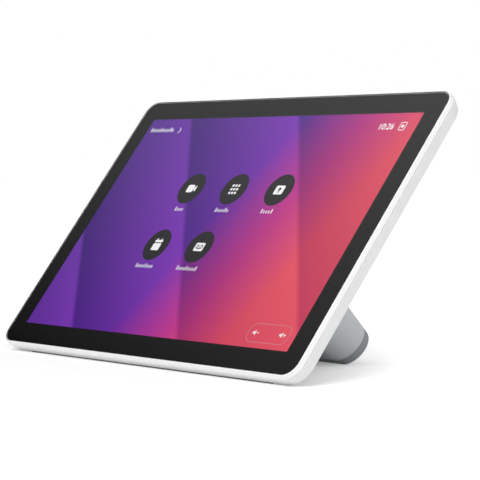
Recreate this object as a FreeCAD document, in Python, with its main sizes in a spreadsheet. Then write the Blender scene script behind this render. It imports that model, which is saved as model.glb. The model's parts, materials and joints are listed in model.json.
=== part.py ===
import FreeCAD, Part
import math
import os
import re

import Sketcher
from FreeCAD import Placement, Rotation, Vector

# A touch desk phone: a flat glass panel that leans back on one tapered foot.
# Every piece is drawn in the panel's own frame: X to the right, Y up the glass, Z out of the glass,
# with the origin at the middle of the lit screen on the glass front. Depths count backwards from there.
# One placement then leans the panel back and stands it on the table: X right, Y back, Z up.

DIMENSIONS = (
    ("tilt", 52.32, "lean of the glass above the table, degrees"),
    # Display and glass
    ("screen_wide", 217.0, "lit area"),
    ("screen_tall", 135.6, "lit area"),
    ("bezel", 12.0, "black border round the lit area"),
    ("glass_thick", 1.1, "cover glass"),
    ("glass_corner", 7.3, "corner radius of the cover glass"),
    ("film_thick", 0.2, "black border film with its adhesive"),
    ("film_inset", 0.4, "film edge inside the glass edge"),
    ("window_margin", 0.4, "film window beyond the lit area"),
    ("window_corner", 0.8, "corner radius of the film window"),
    ("cell_border", 5.0, "display cell beyond the lit area"),
    ("cell_thick", 1.2, "display cell"),
    ("tray_border", 6.2, "backlight tray beyond the lit area"),
    ("tray_thick", 2.2, "backlight tray"),
    ("tray_gap", 0.8, "room round the backlight tray"),
    ("ledge_corner", 0.8, "corner radius of the opening round the tray"),
    # Front frame
    ("glass_gap", 0.25, "room round the cover glass"),
    ("glass_proud", 0.1, "glass front above the rim"),
    ("rim_land", 0.35, "flat front edge of the rim"),
    ("rim_wide", 1.4, "rim beyond the glass edge at its widest"),
    ("rim_corner", 9.0, "corner radius of the rim at its widest"),
    ("rim_deep", 2.6, "parting line below the glass front"),
    ("parting_gap", 0.15, "joint between frame and housing"),
    ("gasket_thick", 0.5, "adhesive ring under the glass edge"),
    ("gasket_set", 1.0, "adhesive ring back from the ledge edge"),
    ("skirt_thick", 1.4, "frame skirt inside the housing"),
    ("skirt_room", 0.3, "skirt above the slope inside the housing"),
    # Rear housing
    ("housing_wall", 2.0, "side wall"),
    ("fit_gap", 0.2, "skirt to housing wall"),
    ("edge_deep", 8.8, "rear edge of the side wall"),
    ("wall_lean", 1.0, "side wall leans in by this much at the rear edge"),
    ("edge_corner", 10.5, "corner radius at the rear edge"),
    ("back_wall", 1.7, "back wall"),
    ("back_inset", 24.0, "flat of the back inside the rear edge"),
    ("foot_proud", 0.45, "rubber strip below the housing"),
    ("edge_trim", 0.5, "lower rear edge cut level with the table"),
    ("foot_long", 200.0, "rubber strip"),
    ("foot_wide", 1.1, "rubber strip"),
    ("foot_sunk", 0.6, "rubber strip in its groove"),
    # Mid plate and main board
    ("plate_thick", 0.8, "mid plate"),
    ("plate_gap", 0.3, "mid plate to skirt"),
    ("plate_screw_x", 70.0, "screws along the long sides"),
    ("plate_screw_shank", 1.4, "diameter"),
    ("plate_screw_head", 2.4, "diameter"),
    ("plate_screw_bite", 2.0, "length in the front frame"),
    ("standoff", 1.4, "main board above the mid plate"),
    ("standoff_wide", 5.0, "across the corners"),
    ("board_thick", 1.2, "main board"),
    ("board_wide", 150.0, "main board"),
    ("board_below", 9.0, "main board below the foot's axis"),
    ("board_above", 2.0, "main board above the processor shield"),
    ("board_corner", 2.0, "main board"),
    ("board_screw_inset", 5.0, "screw from the board edges"),
    ("board_screw_shank", 2.0, "diameter"),
    ("board_screw_head", 4.0, "diameter"),
    ("board_screw_tall", 1.3, "head height"),
    ("screw_play", 0.1, "clearance round a screw, on the diameter"),
    ("hole_play", 0.6, "clearance round a screw in a through hole"),
    ("shield_wide", 46.0, "processor shield"),
    ("shield_tall", 30.0, "processor shield"),
    ("shield_thick", 1.8, "processor shield"),
    ("shield_x", 26.0, "processor shield's middle"),
    ("thermal_thick", 0.4, "thermal pad"),
    ("spreader_thick", 0.6, "heat spreader"),
    ("spreader_margin", 2.0, "heat spreader beyond the shield"),
    ("thermal_margin", 4.0, "thermal pad inside the shield"),
    ("part_gap", 2.0, "room between bracket, heat spreader and loudspeaker"),
    ("post_inset_x", 13.0, "housing screw posts inside the flat of the back"),
    ("post_inset_y", 16.0, "housing screw posts inside the flat of the back"),
    ("post_tall", 3.1, "post on the mid plate"),
    ("post_wide", 6.5, "across the corners"),
    ("boss_wide", 8.8, "housing's screw boss, across the corners"),
    ("housing_screw_shank", 2.5, "diameter"),
    ("housing_screw_head", 5.0, "diameter"),
    ("housing_screw_tall", 1.6, "head height"),
    ("housing_screw_sunk", 2.0, "counterbore"),
    ("ribbon_wide", 36.0, "display ribbon"),
    ("ribbon_thick", 0.25, "display ribbon"),
    ("ribbon_x", -32.0, "display ribbon's middle"),
    ("ribbon_land", 8.0, "flat ends of the ribbon"),
    ("ribbon_run", 12.0, "slanted stretch of the ribbon"),
    ("ribbon_room", 1.0, "clearance of the ribbon slot"),
    # Sound
    ("speaker_wide", 46.0, "loudspeaker"),
    ("speaker_tall", 12.0, "loudspeaker"),
    ("speaker_thick", 3.6, "loudspeaker"),
    ("seal_thick", 0.5, "loudspeaker gasket"),
    ("seal_wide", 1.5, "loudspeaker gasket"),
    ("slot_wide", 1.6, "sound slots in the back"),
    ("slot_tall", 8.0, "sound slots in the back"),
    ("slot_count", 9, "sound slots in the back"),
    ("slot_pitch", 4.4, "sound slots in the back"),
    ("mic_x", 40.0, "microphones from the middle"),
    ("mic_wide", 8.0, "microphone"),
    ("mic_thick", 1.7, "microphone"),
    ("mic_gap", 0.1, "microphone in its corner"),
    ("mic_hole", 1.0, "diameter of the sound hole"),
    # Foot
    ("stand_drop", 18.9, "axis of the foot below the screen's middle"),
    ("stand_span", 50.0, "middle of each rounded end from the axis"),
    ("root_radius", 19.9, "end radius where the foot meets the back"),
    ("end_radius", 10.4, "end radius at the free end"),
    ("band_deep", 4.9, "rubber band at the free end"),
    ("seam_gap", 0.15, "joint between shell and band"),
    ("boot_thick", 1.6, "rubber band's wall at the free end"),
    ("boot_trim", 0.4, "lower edge of the band cut level with the table"),
    ("shell_wall", 2.2, "wall of the foot"),
    ("stand_floor", 2.5, "floor of the foot against the back"),
    ("bracket_wide", 104.0, "steel bracket inside the housing"),
    ("bracket_tall", 32.0, "steel bracket inside the housing"),
    ("bracket_thick", 1.5, "steel bracket inside the housing"),
    ("bracket_corner", 4.0, "corner radius"),
    ("stand_screw_x", 40.0, "screws of the foot"),
    ("stand_screw_y", 10.0, "screws of the foot"),
    ("stand_screw_shank", 3.0, "diameter"),
    ("stand_screw_head", 5.5, "diameter"),
    ("stand_screw_tall", 1.4, "head height"),
    ("stand_screw_end", 0.6, "shank past the bracket"),
    # Power board with the network socket, in the root of the foot
    ("power_past", 2.0, "power board beyond the foot's end centres"),
    ("power_room", 4.9, "power board to the foot's long walls"),
    ("power_thick", 1.6, "power board"),
    ("power_rise", 1.0, "ribs under the power board"),
    ("power_screw_inset", 4.0, "screw from the board's short edges"),
    ("power_screw_shank", 2.5, "diameter"),
    ("power_screw_head", 4.6, "diameter"),
    ("power_screw_tall", 1.6, "head height"),
    ("power_screw_bite", 2.4, "length in the foot's floor and rib"),
    ("rib_wide", 7.0, "rib under the power board"),
    ("jack_long", 21.3, "network socket, along the plug"),
    ("jack_wide", 16.0, "network socket"),
    ("jack_tall", 13.3, "network socket"),
    ("jack_x", -20.0, "network socket's middle"),
    ("socket_wide", 11.9, "socket opening"),
    ("socket_tall", 6.8, "socket opening"),
    ("socket_deep", 12.6, "socket opening"),
    ("socket_rise", 2.4, "socket opening above the board"),
    ("latch_wide", 6.2, "latch notch of the socket"),
    ("latch_tall", 2.2, "latch notch of the socket"),
    ("contact_long", 9.0, "contact spring"),
    ("contact_wide", 0.45, "contact spring"),
    ("contact_thick", 0.3, "contact spring"),
    ("contact_pitch", 1.02, "contact spring"),
    ("contact_count", 8, "contact springs"),
    ("choke_long", 16.0, "power transformer"),
    ("choke_wide", 17.0, "power transformer"),
    ("choke_tall", 11.0, "power transformer"),
    ("choke_inset", 8.0, "power transformer from the board's end"),
    ("header_long", 20.0, "board to board header"),
    ("header_wide", 5.0, "board to board header"),
    ("header_x", 4.0, "board to board header's middle"),
    ("header_room", 1.5, "clearance round the header"),
    # Reset button
    ("reset_inset", 15.0, "reset button from the main board's left edge"),
    ("reset_wide", 4.0, "diameter"),
    ("reset_flange", 6.4, "diameter"),
    ("reset_flange_thick", 0.7, "flange"),
    ("reset_proud", 0.3, "button above the back"),
    ("reset_travel", 0.8, "button travel"),
    ("reset_slack", 0.1, "left over at the end of the travel"),
    ("reset_play", 0.6, "clearance round the button, on the diameter"),
    ("switch_wide", 6.0, "reset switch"),
    # End cap
    ("cap_recess", 0.7, "cap face inside the band"),
    ("cap_play", 0.05, "cap to band"),
    ("cap_gap", 0.2, "spigot to the foot's wall"),
    ("spigot_deep", 7.0, "spigot inside the foot"),
    ("spigot_wall", 1.6, "spigot"),
    ("outlet_wide", 12.0, "cable outlet"),
    ("outlet_deep", 8.0, "cable outlet below the upper edge of the band"),
    # Cable cover in the foot's upper wall
    ("cover_wide", 80.0, "cable cover"),
    ("cover_set", 8.0, "cable cover from the foot's root, along the wall"),
    ("cover_thick", 1.1, "cable cover"),
    ("cover_gap", 0.25, "room round the cable cover"),
    ("cover_ledge", 2.5, "ledge under the edges of the cable cover"),
    ("guide_deep", 2.0, "guide ribs under the cable cover"),
    ("guide_thick", 1.2, "guide ribs under the cable cover"),
    ("guide_long", 30.0, "guide ribs under the cable cover"),
    ("nail_wide", 14.0, "nail slot in the edge of the cable cover"),
    ("nail_deep", 1.2, "nail slot in the edge of the cable cover"),
)

ALIASES = re.compile(r"\b(" + "|".join(row[0] for row in DIMENSIONS) + r")\b")

doc = FreeCAD.newDocument("touch_desk_phone")
dims = doc.addObject("Spreadsheet::Sheet", "dims")
for row, (alias, value, note) in enumerate(DIMENSIONS, start=1):
    dims.set(f"A{row}", alias)
    dims.set(f"B{row}", str(value))
    dims.setAlias(f"B{row}", alias)
    dims.set(f"C{row}", note)
doc.recompute()

# Sizes that follow from the driving dimensions, as formulas.
GLASS_W = "(screen_wide + 2 * bezel)"
GLASS_T = "(screen_tall + 2 * bezel)"
RIM_W = f"({GLASS_W} + 2 * rim_wide)"
RIM_T = f"({GLASS_T} + 2 * rim_wide)"
EDGE_W = f"({RIM_W} - 2 * wall_lean)"
EDGE_T = f"({RIM_T} - 2 * wall_lean)"
BACK_W = f"({EDGE_W} - 2 * back_inset)"
BACK_T = f"({EDGE_T} - 2 * back_inset)"
HOLLOW_W = f"({RIM_W} - 2 * housing_wall)"
HOLLOW_T = f"({RIM_T} - 2 * housing_wall)"
HOLLOW_CORNER = "(edge_corner + wall_lean - housing_wall)"
SKIRT_W = f"({HOLLOW_W} - 2 * fit_gap)"
SKIRT_T = f"({HOLLOW_T} - 2 * fit_gap)"
SKIRT_CORNER = f"({HOLLOW_CORNER} - fit_gap)"
INNER_W = f"({SKIRT_W} - 2 * skirt_thick)"
INNER_T = f"({SKIRT_T} - 2 * skirt_thick)"
INNER_CORNER = f"({SKIRT_CORNER} - skirt_thick)"
TRAY_W = "(screen_wide + 2 * tray_border)"
TRAY_T = "(screen_tall + 2 * tray_border)"
LEDGE_W = f"({TRAY_W} + 2 * tray_gap)"
LEDGE_T = f"({TRAY_T} + 2 * tray_gap)"

# Depths behind the glass front. The back follows from what is stacked inside.
FILM_BACK = "(glass_thick + film_thick)"
LEDGE_FRONT = f"({FILM_BACK} + gasket_thick)"
CELL_BACK = f"({FILM_BACK} + cell_thick)"
TRAY_BACK = f"({CELL_BACK} + tray_thick)"
PLATE_BACK = f"({TRAY_BACK} + plate_thick)"
BOARD_FRONT = f"({PLATE_BACK} + standoff)"
BOARD_BACK = f"({BOARD_FRONT} + board_thick)"
SHIELD_BACK = f"({BOARD_BACK} + shield_thick)"
THERMAL_BACK = f"({SHIELD_BACK} + thermal_thick)"
BACK_INNER = f"({THERMAL_BACK} + spreader_thick)"
BACK = f"({BACK_INNER} + back_wall)"
POST_BACK = f"({PLATE_BACK} + post_tall)"
HOUSING_FRONT = "(rim_deep + parting_gap)"
HOLLOW_BACK = "(edge_deep - housing_wall)"
SKIRT_BACK = f"({HOLLOW_BACK} - skirt_room)"
FLOOR_BACK = f"({BACK} + stand_floor)"
POWER_FRONT = f"({FLOOR_BACK} + power_rise)"
POWER_BACK = f"({POWER_FRONT} + power_thick)"

# How the leaning panel stands: the lower rear edge and the foot's lower edge both reach the table.
LIFT = f"({EDGE_T} / 2 * sin(tilt) + edge_deep * cos(tilt) + foot_proud - edge_trim)"
SHIFT = "(-edge_deep * sin(tilt) / 2)"
STAND_END = f"(({LIFT} - (stand_drop + end_radius) * sin(tilt) + boot_trim) / cos(tilt))"
SEAM = f"({STAND_END} - band_deep)"
BAND_FRONT = f"({SEAM} + seam_gap)"
TAPER = f"((root_radius - end_radius) / ({STAND_END} - {BACK}))"
SEAM_RADIUS = f"(end_radius + {TAPER} * band_deep)"
BAND_RADIUS = f"(end_radius + {TAPER} * (band_deep - seam_gap))"
FLOOR_RADIUS = f"(root_radius - {TAPER} * stand_floor)"
SPIGOT_RADIUS = f"({SEAM_RADIUS} - shell_wall - cap_gap)"
CAP_RADIUS = "(end_radius - boot_thick - cap_play)"
STAND_Y = "(-stand_drop)"
WALL_RUN = f"(({SEAM} - {BACK}) * sqrt(1 + {TAPER}^2))"

# Heights of what lies behind the display, one above the other from the foot's bracket up.
SPREADER_T = "(shield_tall + 2 * spreader_margin)"
SHIELD_Y = f"({STAND_Y} + bracket_tall / 2 + part_gap + {SPREADER_T} / 2)"
SPEAKER_Y = f"({SHIELD_Y} + {SPREADER_T} / 2 + part_gap + speaker_tall / 2)"
BOARD_LOW = f"({STAND_Y} - board_below)"
BOARD_HIGH = f"({SHIELD_Y} + shield_tall / 2 + board_above)"
BOARD_T = f"({BOARD_HIGH} - {BOARD_LOW})"
BOARD_Y = f"(({BOARD_HIGH} + {BOARD_LOW}) / 2)"

# The power board fits in the root of the foot.
POWER_W = "(2 * stand_span + 2 * power_past)"
POWER_T = f"(2 * ({FLOOR_RADIUS} - shell_wall - power_room))"
CHOKE_X = f"({POWER_W} / 2 - choke_inset - choke_long / 2)"

# Rows of screws, each a list of places.
PLATE_SCREW_Y = f"(({LEDGE_T} + {INNER_T}) / 4)"


def four(x, y, about="0"):
    """The four places at plus and minus x and y, about a height."""
    return [(f"({a} * {x})", f"({about} + {b} * {y})") for a in (-1, 1) for b in (-1, 1)]


PLATE_SCREWS = four("plate_screw_x", PLATE_SCREW_Y)
BOARD_SCREWS = four("(board_wide / 2 - board_screw_inset)", f"({BOARD_T} / 2 - board_screw_inset)", BOARD_Y)
POSTS = four(f"({BACK_W} / 2 - post_inset_x)", f"({BACK_T} / 2 - post_inset_y)")
STAND_SCREWS = four("stand_screw_x", "stand_screw_y", STAND_Y)
POWER_SCREWS = [(f"({a} * ({POWER_W} / 2 - power_screw_inset))", STAND_Y) for a in (-1, 1)]
MICROPHONES = [("(-mic_x)", PLATE_SCREW_Y), ("mic_x", PLATE_SCREW_Y)]
RESET_X = "(reset_inset - board_wide / 2)"
RESET = [(RESET_X, SHIELD_Y)]


def cells(formula):
    """A formula with its words turned into references to the sheet."""
    return ALIASES.sub(r"dims.\1", formula)


def number(formula):
    """The present value of a formula."""
    return float(dims.evalExpression(cells(formula)))


def bind(thing, setting, formula):
    thing.setExpression(setting, cells(formula))


def new_body(label):
    """An empty body, leaning as the panel does."""
    body = doc.addObject("PartDesign::Body", label)
    body.Label = label
    body.AllowCompound = True
    body.Placement = Placement(Vector(0, 0, 0), Rotation(Vector(1, 0, 0), number("tilt")))
    bind(body, "Placement.Rotation.Angle", "tilt")
    bind(body, "Placement.Base.y", SHIFT)
    bind(body, "Placement.Base.z", LIFT)
    return body


def new_sketch(body, role):
    sketch = body.newObject("Sketcher::SketchObject", f"{body.Label}_sketch")
    plane = next(item for item in body.Origin.OriginFeatures if item.Role == role)
    sketch.AttachmentSupport = [(plane, "")]
    sketch.MapMode = "FlatFace"
    return sketch


def at_depth(body, depth):
    """A sketch parallel to the glass, at a depth behind its front."""
    sketch = new_sketch(body, "XY_Plane")
    bind(sketch, "AttachmentOffset.Base.z", f"-{depth}")
    return sketch


def across(body, x="0"):
    """A sketch square to the glass and upright, at a place along the width: Y up the glass, Z out of it."""
    sketch = new_sketch(body, "YZ_Plane")
    bind(sketch, "AttachmentOffset.Base.z", x)
    return sketch


def level(body):
    """A sketch as across, turned level with the table, with its origin on the table."""
    sketch = new_sketch(body, "YZ_Plane")
    sketch.AttachmentOffset = Placement(Vector(0, 0, 0), Rotation(Vector(0, 0, -1), number("tilt")))
    bind(sketch, "AttachmentOffset.Rotation.Angle", "tilt")
    bind(sketch, "AttachmentOffset.Base.x", f"-({SHIFT} * cos(tilt) + {LIFT} * sin(tilt))")
    bind(sketch, "AttachmentOffset.Base.y", f"{SHIFT} * sin(tilt) - {LIFT} * cos(tilt)")
    return sketch


def on_wall(body, inset="0"):
    """A sketch along the foot's upper wall: Y runs up the wall to its root, Z into the foot."""
    sketch = new_sketch(body, "XZ_Plane")
    lean = f"atan({TAPER})"
    sketch.AttachmentOffset = Placement(Vector(0, 0, 0), Rotation(Vector(-1, 0, 0), number(lean)))
    bind(sketch, "AttachmentOffset.Rotation.Angle", lean)
    bind(sketch, "AttachmentOffset.Base.y", f"{inset} * sin({lean}) - {BACK}")
    bind(sketch, "AttachmentOffset.Base.z", f"{inset} * cos({lean}) - {STAND_Y} - root_radius")
    return sketch


def constrain(sketch, formula, kind, *where):
    """A dimension of a sketch that follows a formula."""
    index = sketch.addConstraint(Sketcher.Constraint(kind, *where, number(formula)))
    bind(sketch, f"Constraints[{index}]", formula)


def chain(sketch, pieces):
    """Adds lines and arcs that run on from each other, tangent at every joint."""
    first = sketch.GeometryCount
    sketch.addGeometry(pieces, False)
    count = len(pieces)
    for step in range(count):
        following = first + (step + 1) % count
        sketch.addConstraint(Sketcher.Constraint("Tangent", first + step, 2, following, 1))
    return first


def line(x0, y0, x1, y1):
    return Part.LineSegment(Vector(x0, y0, 0), Vector(x1, y1, 0))


def arc(x, y, radius, start, turn):
    """An arc about a point, from a start angle through a turn, both in quarter turns."""
    quarter = math.pi / 2
    circle = Part.Circle(Vector(x, y, 0), Vector(0, 0, 1), radius)
    return Part.ArcOfCircle(circle, start * quarter, (start + turn) * quarter)


def rounded(sketch, wide, tall, corner, x="0", y="0"):
    """A rectangle with round corners about a point."""
    r = number(corner)
    left, right = number(f"{x} - {wide} / 2"), number(f"{x} + {wide} / 2")
    low, high = number(f"{y} - {tall} / 2"), number(f"{y} + {tall} / 2")
    first = chain(sketch, [
        line(left + r, low, right - r, low), arc(right - r, low + r, r, 3, 1),
        line(right, low + r, right, high - r), arc(right - r, high - r, r, 0, 1),
        line(right - r, high, left + r, high), arc(left + r, high - r, r, 1, 1),
        line(left, high - r, left, low + r), arc(left + r, low + r, r, 2, 1)])
    for side, kind in enumerate(("Horizontal", "Vertical", "Horizontal", "Vertical")):
        sketch.addConstraint(Sketcher.Constraint(kind, first + 2 * side))
    for turn in (3, 5, 7):
        sketch.addConstraint(Sketcher.Constraint("Equal", first + 1, first + turn))
    constrain(sketch, corner, "Radius", first + 1)
    constrain(sketch, f"{wide} - 2 * {corner}", "DistanceX", first + 7, 3, first + 1, 3)
    constrain(sketch, f"{tall} - 2 * {corner}", "DistanceY", first + 1, 3, first + 3, 3)
    constrain(sketch, f"{x} - {wide} / 2 + {corner}", "DistanceX", -1, 1, first + 7, 3)
    constrain(sketch, f"{y} - {tall} / 2 + {corner}", "DistanceY", -1, 1, first + 7, 3)


def polygon(sketch, points):
    """A closed outline of straight lines, each corner placed by two formulas."""
    places = [(number(x), number(y)) for x, y in points]
    count = len(points)
    first = sketch.GeometryCount
    sketch.addGeometry([line(*places[k], *places[(k + 1) % count]) for k in range(count)], False)
    for k, (x, y) in enumerate(points):
        sketch.addConstraint(Sketcher.Constraint("Coincident", first + k, 2, first + (k + 1) % count, 1))
        constrain(sketch, x, "DistanceX", -1, 1, first + k, 1)
        constrain(sketch, y, "DistanceY", -1, 1, first + k, 1)


def rectangle(sketch, left, right, low, high):
    polygon(sketch, [(left, low), (right, low), (right, high), (left, high)])


def stadium(sketch, span, radius, y):
    """Two half circles a span either side of the middle, joined by straight lines."""
    a, r, middle = number(span), number(radius), number(y)
    first = chain(sketch, [
        line(-a, middle - r, a, middle - r), arc(a, middle, r, 3, 2),
        line(a, middle + r, -a, middle + r), arc(-a, middle, r, 1, 2)])
    sketch.addConstraint(Sketcher.Constraint("Horizontal", first))
    sketch.addConstraint(Sketcher.Constraint("Equal", first + 1, first + 3))
    constrain(sketch, radius, "Radius", first + 1)
    constrain(sketch, f"2 * {span}", "DistanceX", first + 3, 3, first + 1, 3)
    constrain(sketch, span, "DistanceX", -1, 1, first + 1, 3)
    constrain(sketch, y, "DistanceY", -1, 1, first + 1, 3)


def circles(sketch, places, diameter):
    for x, y in places:
        centre = Vector(number(x), number(y), 0)
        circle = sketch.addGeometry(Part.Circle(centre, Vector(0, 0, 1), number(diameter) / 2), False)
        constrain(sketch, diameter, "Diameter", circle)
        constrain(sketch, x, "DistanceX", -1, 1, circle, 3)
        constrain(sketch, y, "DistanceY", -1, 1, circle, 3)


def octagons(sketch, places, diameter):
    """Small rounds that are hidden inside, drawn with eight sides to keep the facets few."""
    turns = [math.radians(45 * k + 22.5) for k in range(8)]
    for x, y in places:
        polygon(sketch, [(f"({x} + {math.cos(turn) / 2:.6f} * {diameter})",
                          f"({y} + {math.sin(turn) / 2:.6f} * {diameter})") for turn in turns])


def pad(sketch, length, reverse=False, both=False):
    """Material from a sketch along its normal, or against it, or to both sides."""
    body = sketch.getParentGeoFeatureGroup()
    feature = body.newObject("PartDesign::Pad", f"{body.Label}_pad")
    feature.Profile = sketch
    feature.Reversed = reverse
    feature.Midplane = both
    bind(feature, "Length", length)
    return feature


def pocket(sketch, length, reverse=False, both=False):
    """A cut from a sketch against its normal, or along it, or to both sides."""
    body = sketch.getParentGeoFeatureGroup()
    before = body.Shape.Volume if not body.Shape.isNull() else 0.0
    feature = body.newObject("PartDesign::Pocket", f"{body.Label}_pocket")
    feature.Profile = sketch
    feature.Reversed = reverse
    feature.Midplane = both
    bind(feature, "Length", length)
    doc.recompute()
    if not body.Shape.Volume < before:
        raise RuntimeError(f"a cut in {body.Label} takes nothing away")
    return feature


def loft(kind, *sections):
    """Straight sided material, or a cut, through sections in order."""
    body = sections[0].getParentGeoFeatureGroup()
    feature = body.newObject(f"PartDesign::{kind}Loft", f"{body.Label}_loft")
    feature.Profile = sections[0]
    feature.Sections = list(sections[1:])
    feature.Ruled = True
    doc.recompute()
    return feature


def spread(feature, sketch, count, pitch):
    """Repeats a feature along the sketch's own X axis."""
    body = feature.getParentGeoFeatureGroup()
    pattern = body.newObject("PartDesign::LinearPattern", f"{body.Label}_pattern")
    pattern.Originals = [feature]
    pattern.Direction = (sketch, ["H_Axis"])
    bind(pattern, "Length", f"({count} - 1) * {pitch}")
    bind(pattern, "Occurrences", count)
    body.Tip = pattern
    doc.recompute()


def rounded_at(body, depth, wide, tall, corner, x="0", y="0"):
    sketch = at_depth(body, depth)
    rounded(sketch, wide, tall, corner, x, y)
    return sketch


def stadium_at(body, depth, radius):
    sketch = at_depth(body, depth)
    stadium(sketch, "stand_span", radius, STAND_Y)
    return sketch


def circles_at(body, depth, places, diameter):
    sketch = at_depth(body, depth)
    circles(sketch, places, diameter)
    return sketch


def octagons_at(body, depth, places, diameter):
    sketch = at_depth(body, depth)
    octagons(sketch, places, diameter)
    return sketch


def plate(label, wide, tall, corner, front, back, x="0", y="0"):
    """A flat piece between two depths, with round corners, or square ones where none is given."""
    body = new_body(label)
    sketch = at_depth(body, front)
    if corner:
        rounded(sketch, wide, tall, corner, x, y)
    else:
        rectangle(sketch, f"({x} - {wide} / 2)", f"({x} + {wide} / 2)", f"({y} - {tall} / 2)",
                  f"({y} + {tall} / 2)")
    pad(sketch, f"{back} - {front}", reverse=True)
    doc.recompute()
    return body


def screws(label, places, shank, shank_front, head, head_front, head_back):
    """A set of like screws, heads to the rear."""
    body = new_body(label)
    pad(octagons_at(body, head_front, places, head), f"{head_back} - {head_front}", reverse=True)
    pad(octagons_at(body, head_front, places, shank), f"{head_front} - {shank_front}")
    doc.recompute()


def sound_holes(body):
    """Drills the microphones' holes through the upper wall."""
    sketch = new_sketch(body, "XZ_Plane")
    depth = f"(-{TRAY_BACK} - mic_thick / 2)"
    octagons(sketch, [(x, depth) for x, _ in MICROPHONES], "mic_hole")
    pocket(sketch, RIM_T)


def cover_glass():
    plate("cover_glass", GLASS_W, GLASS_T, "glass_corner", "0", "glass_thick")


def border_film():
    body = plate("border_film", f"({GLASS_W} - 2 * film_inset)", f"({GLASS_T} - 2 * film_inset)",
                 "(glass_corner - film_inset)", "glass_thick", FILM_BACK)
    window = rounded_at(body, "glass_thick", "(screen_wide + 2 * window_margin)",
                        "(screen_tall + 2 * window_margin)", "window_corner")
    pocket(window, "2 * film_thick")


def glass_gasket():
    body = plate("glass_gasket", f"({GLASS_W} - 2 * film_inset)", f"({GLASS_T} - 2 * film_inset)",
                 "(glass_corner - film_inset)", FILM_BACK, LEDGE_FRONT)
    inside = rounded_at(body, FILM_BACK, f"({LEDGE_W} + 2 * gasket_set)", f"({LEDGE_T} + 2 * gasket_set)",
                        "(ledge_corner + gasket_set)")
    pocket(inside, "2 * gasket_thick")


def display():
    plate("display_cell", "(screen_wide + 2 * cell_border)", "(screen_tall + 2 * cell_border)",
          None, FILM_BACK, CELL_BACK)
    plate("backlight_tray", TRAY_W, TRAY_T, None, CELL_BACK, TRAY_BACK)


def front_frame():
    """Rim with a bevelled front edge, a ledge for the glass and a skirt that enters the housing."""
    body = new_body("front_frame")
    front_wide = f"({GLASS_W} + 2 * glass_gap + 2 * rim_land)"
    front_tall = f"({GLASS_T} + 2 * glass_gap + 2 * rim_land)"
    front_corner = "(glass_corner + glass_gap + rim_land)"
    loft("Additive", rounded_at(body, "rim_deep", RIM_W, RIM_T, "rim_corner"),
         rounded_at(body, "glass_proud", front_wide, front_tall, front_corner))
    skirt = rounded_at(body, "rim_deep", SKIRT_W, SKIRT_T, SKIRT_CORNER)
    pad(skirt, f"{SKIRT_BACK} - rim_deep", reverse=True)
    doc.recompute()
    seat = rounded_at(body, "glass_proud", f"({GLASS_W} + 2 * glass_gap)", f"({GLASS_T} + 2 * glass_gap)",
                      "(glass_corner + glass_gap)")
    pocket(seat, f"{LEDGE_FRONT} - glass_proud")
    pocket(rounded_at(body, "glass_proud", LEDGE_W, LEDGE_T, "ledge_corner"), SKIRT_BACK)
    pocket(rounded_at(body, SKIRT_BACK, INNER_W, INNER_T, INNER_CORNER), f"{SKIRT_BACK} - {TRAY_BACK}",
           reverse=True)
    pilots = octagons_at(body, TRAY_BACK, PLATE_SCREWS, "(plate_screw_shank + screw_play)")
    pocket(pilots, "plate_screw_bite", reverse=True)
    sound_holes(body)


def mid_plate():
    """Stamped plate with pressed-in standoffs, clear of the ribbon and the microphones."""
    body = plate("mid_plate", f"({INNER_W} - 2 * plate_gap)", f"({INNER_T} - 2 * plate_gap)",
                 f"({INNER_CORNER} - plate_gap)", TRAY_BACK, PLATE_BACK)
    pad(octagons_at(body, TRAY_BACK, BOARD_SCREWS, "standoff_wide"), f"{BOARD_FRONT} - {TRAY_BACK}",
        reverse=True)
    pad(octagons_at(body, TRAY_BACK, POSTS, "post_wide"), f"{POST_BACK} - {TRAY_BACK}", reverse=True)
    doc.recompute()
    pocket(octagons_at(body, TRAY_BACK, PLATE_SCREWS, "(plate_screw_shank + hole_play)"), "2 * plate_thick")
    pocket(octagons_at(body, BOARD_FRONT, BOARD_SCREWS, "(board_screw_shank + screw_play)"), "standoff",
           reverse=True)
    pocket(octagons_at(body, POST_BACK, POSTS, "(housing_screw_shank + screw_play)"), "post_tall",
           reverse=True)
    slot = at_depth(body, TRAY_BACK)
    half = "(ribbon_wide / 2 + ribbon_room)"
    rectangle(slot, f"(ribbon_x - {half})", f"(ribbon_x + {half})", f"({RIBBON_LOW} - ribbon_room)",
              RIBBON_HIGH)
    pocket(slot, "2 * plate_thick")
    notches = at_depth(body, TRAY_BACK)
    for x, _ in MICROPHONES:
        rectangle(notches, f"({x} - mic_wide / 2 - plate_gap)", f"({x} + mic_wide / 2 + plate_gap)",
                  f"({LEDGE_T} / 2 - plate_gap)", f"({INNER_T} / 2)")
    pocket(notches, "2 * plate_thick")


# The ribbon leaves the tray's back, slants past the lower edge of the board and lies on the board's back.
RIBBON_HIGH = BOARD_LOW
RIBBON_BEND = f"({RIBBON_HIGH} - ribbon_room)"
RIBBON_TURN = f"({RIBBON_BEND} - ribbon_run)"
RIBBON_LOW = f"({RIBBON_TURN} - ribbon_land)"


def display_ribbon():
    body = new_body("display_ribbon")
    sketch = across(body, "ribbon_x")
    end = f"({RIBBON_HIGH} + ribbon_land)"
    polygon(sketch, [
        (RIBBON_LOW, f"-{TRAY_BACK}"), (RIBBON_TURN, f"-{TRAY_BACK}"),
        (RIBBON_BEND, f"-{BOARD_BACK}"), (end, f"-{BOARD_BACK}"),
        (end, f"(-{BOARD_BACK} - ribbon_thick)"), (RIBBON_BEND, f"(-{BOARD_BACK} - ribbon_thick)"),
        (RIBBON_TURN, f"(-{TRAY_BACK} - ribbon_thick)"), (RIBBON_LOW, f"(-{TRAY_BACK} - ribbon_thick)")])
    pad(sketch, "ribbon_wide", both=True)
    doc.recompute()


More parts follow.
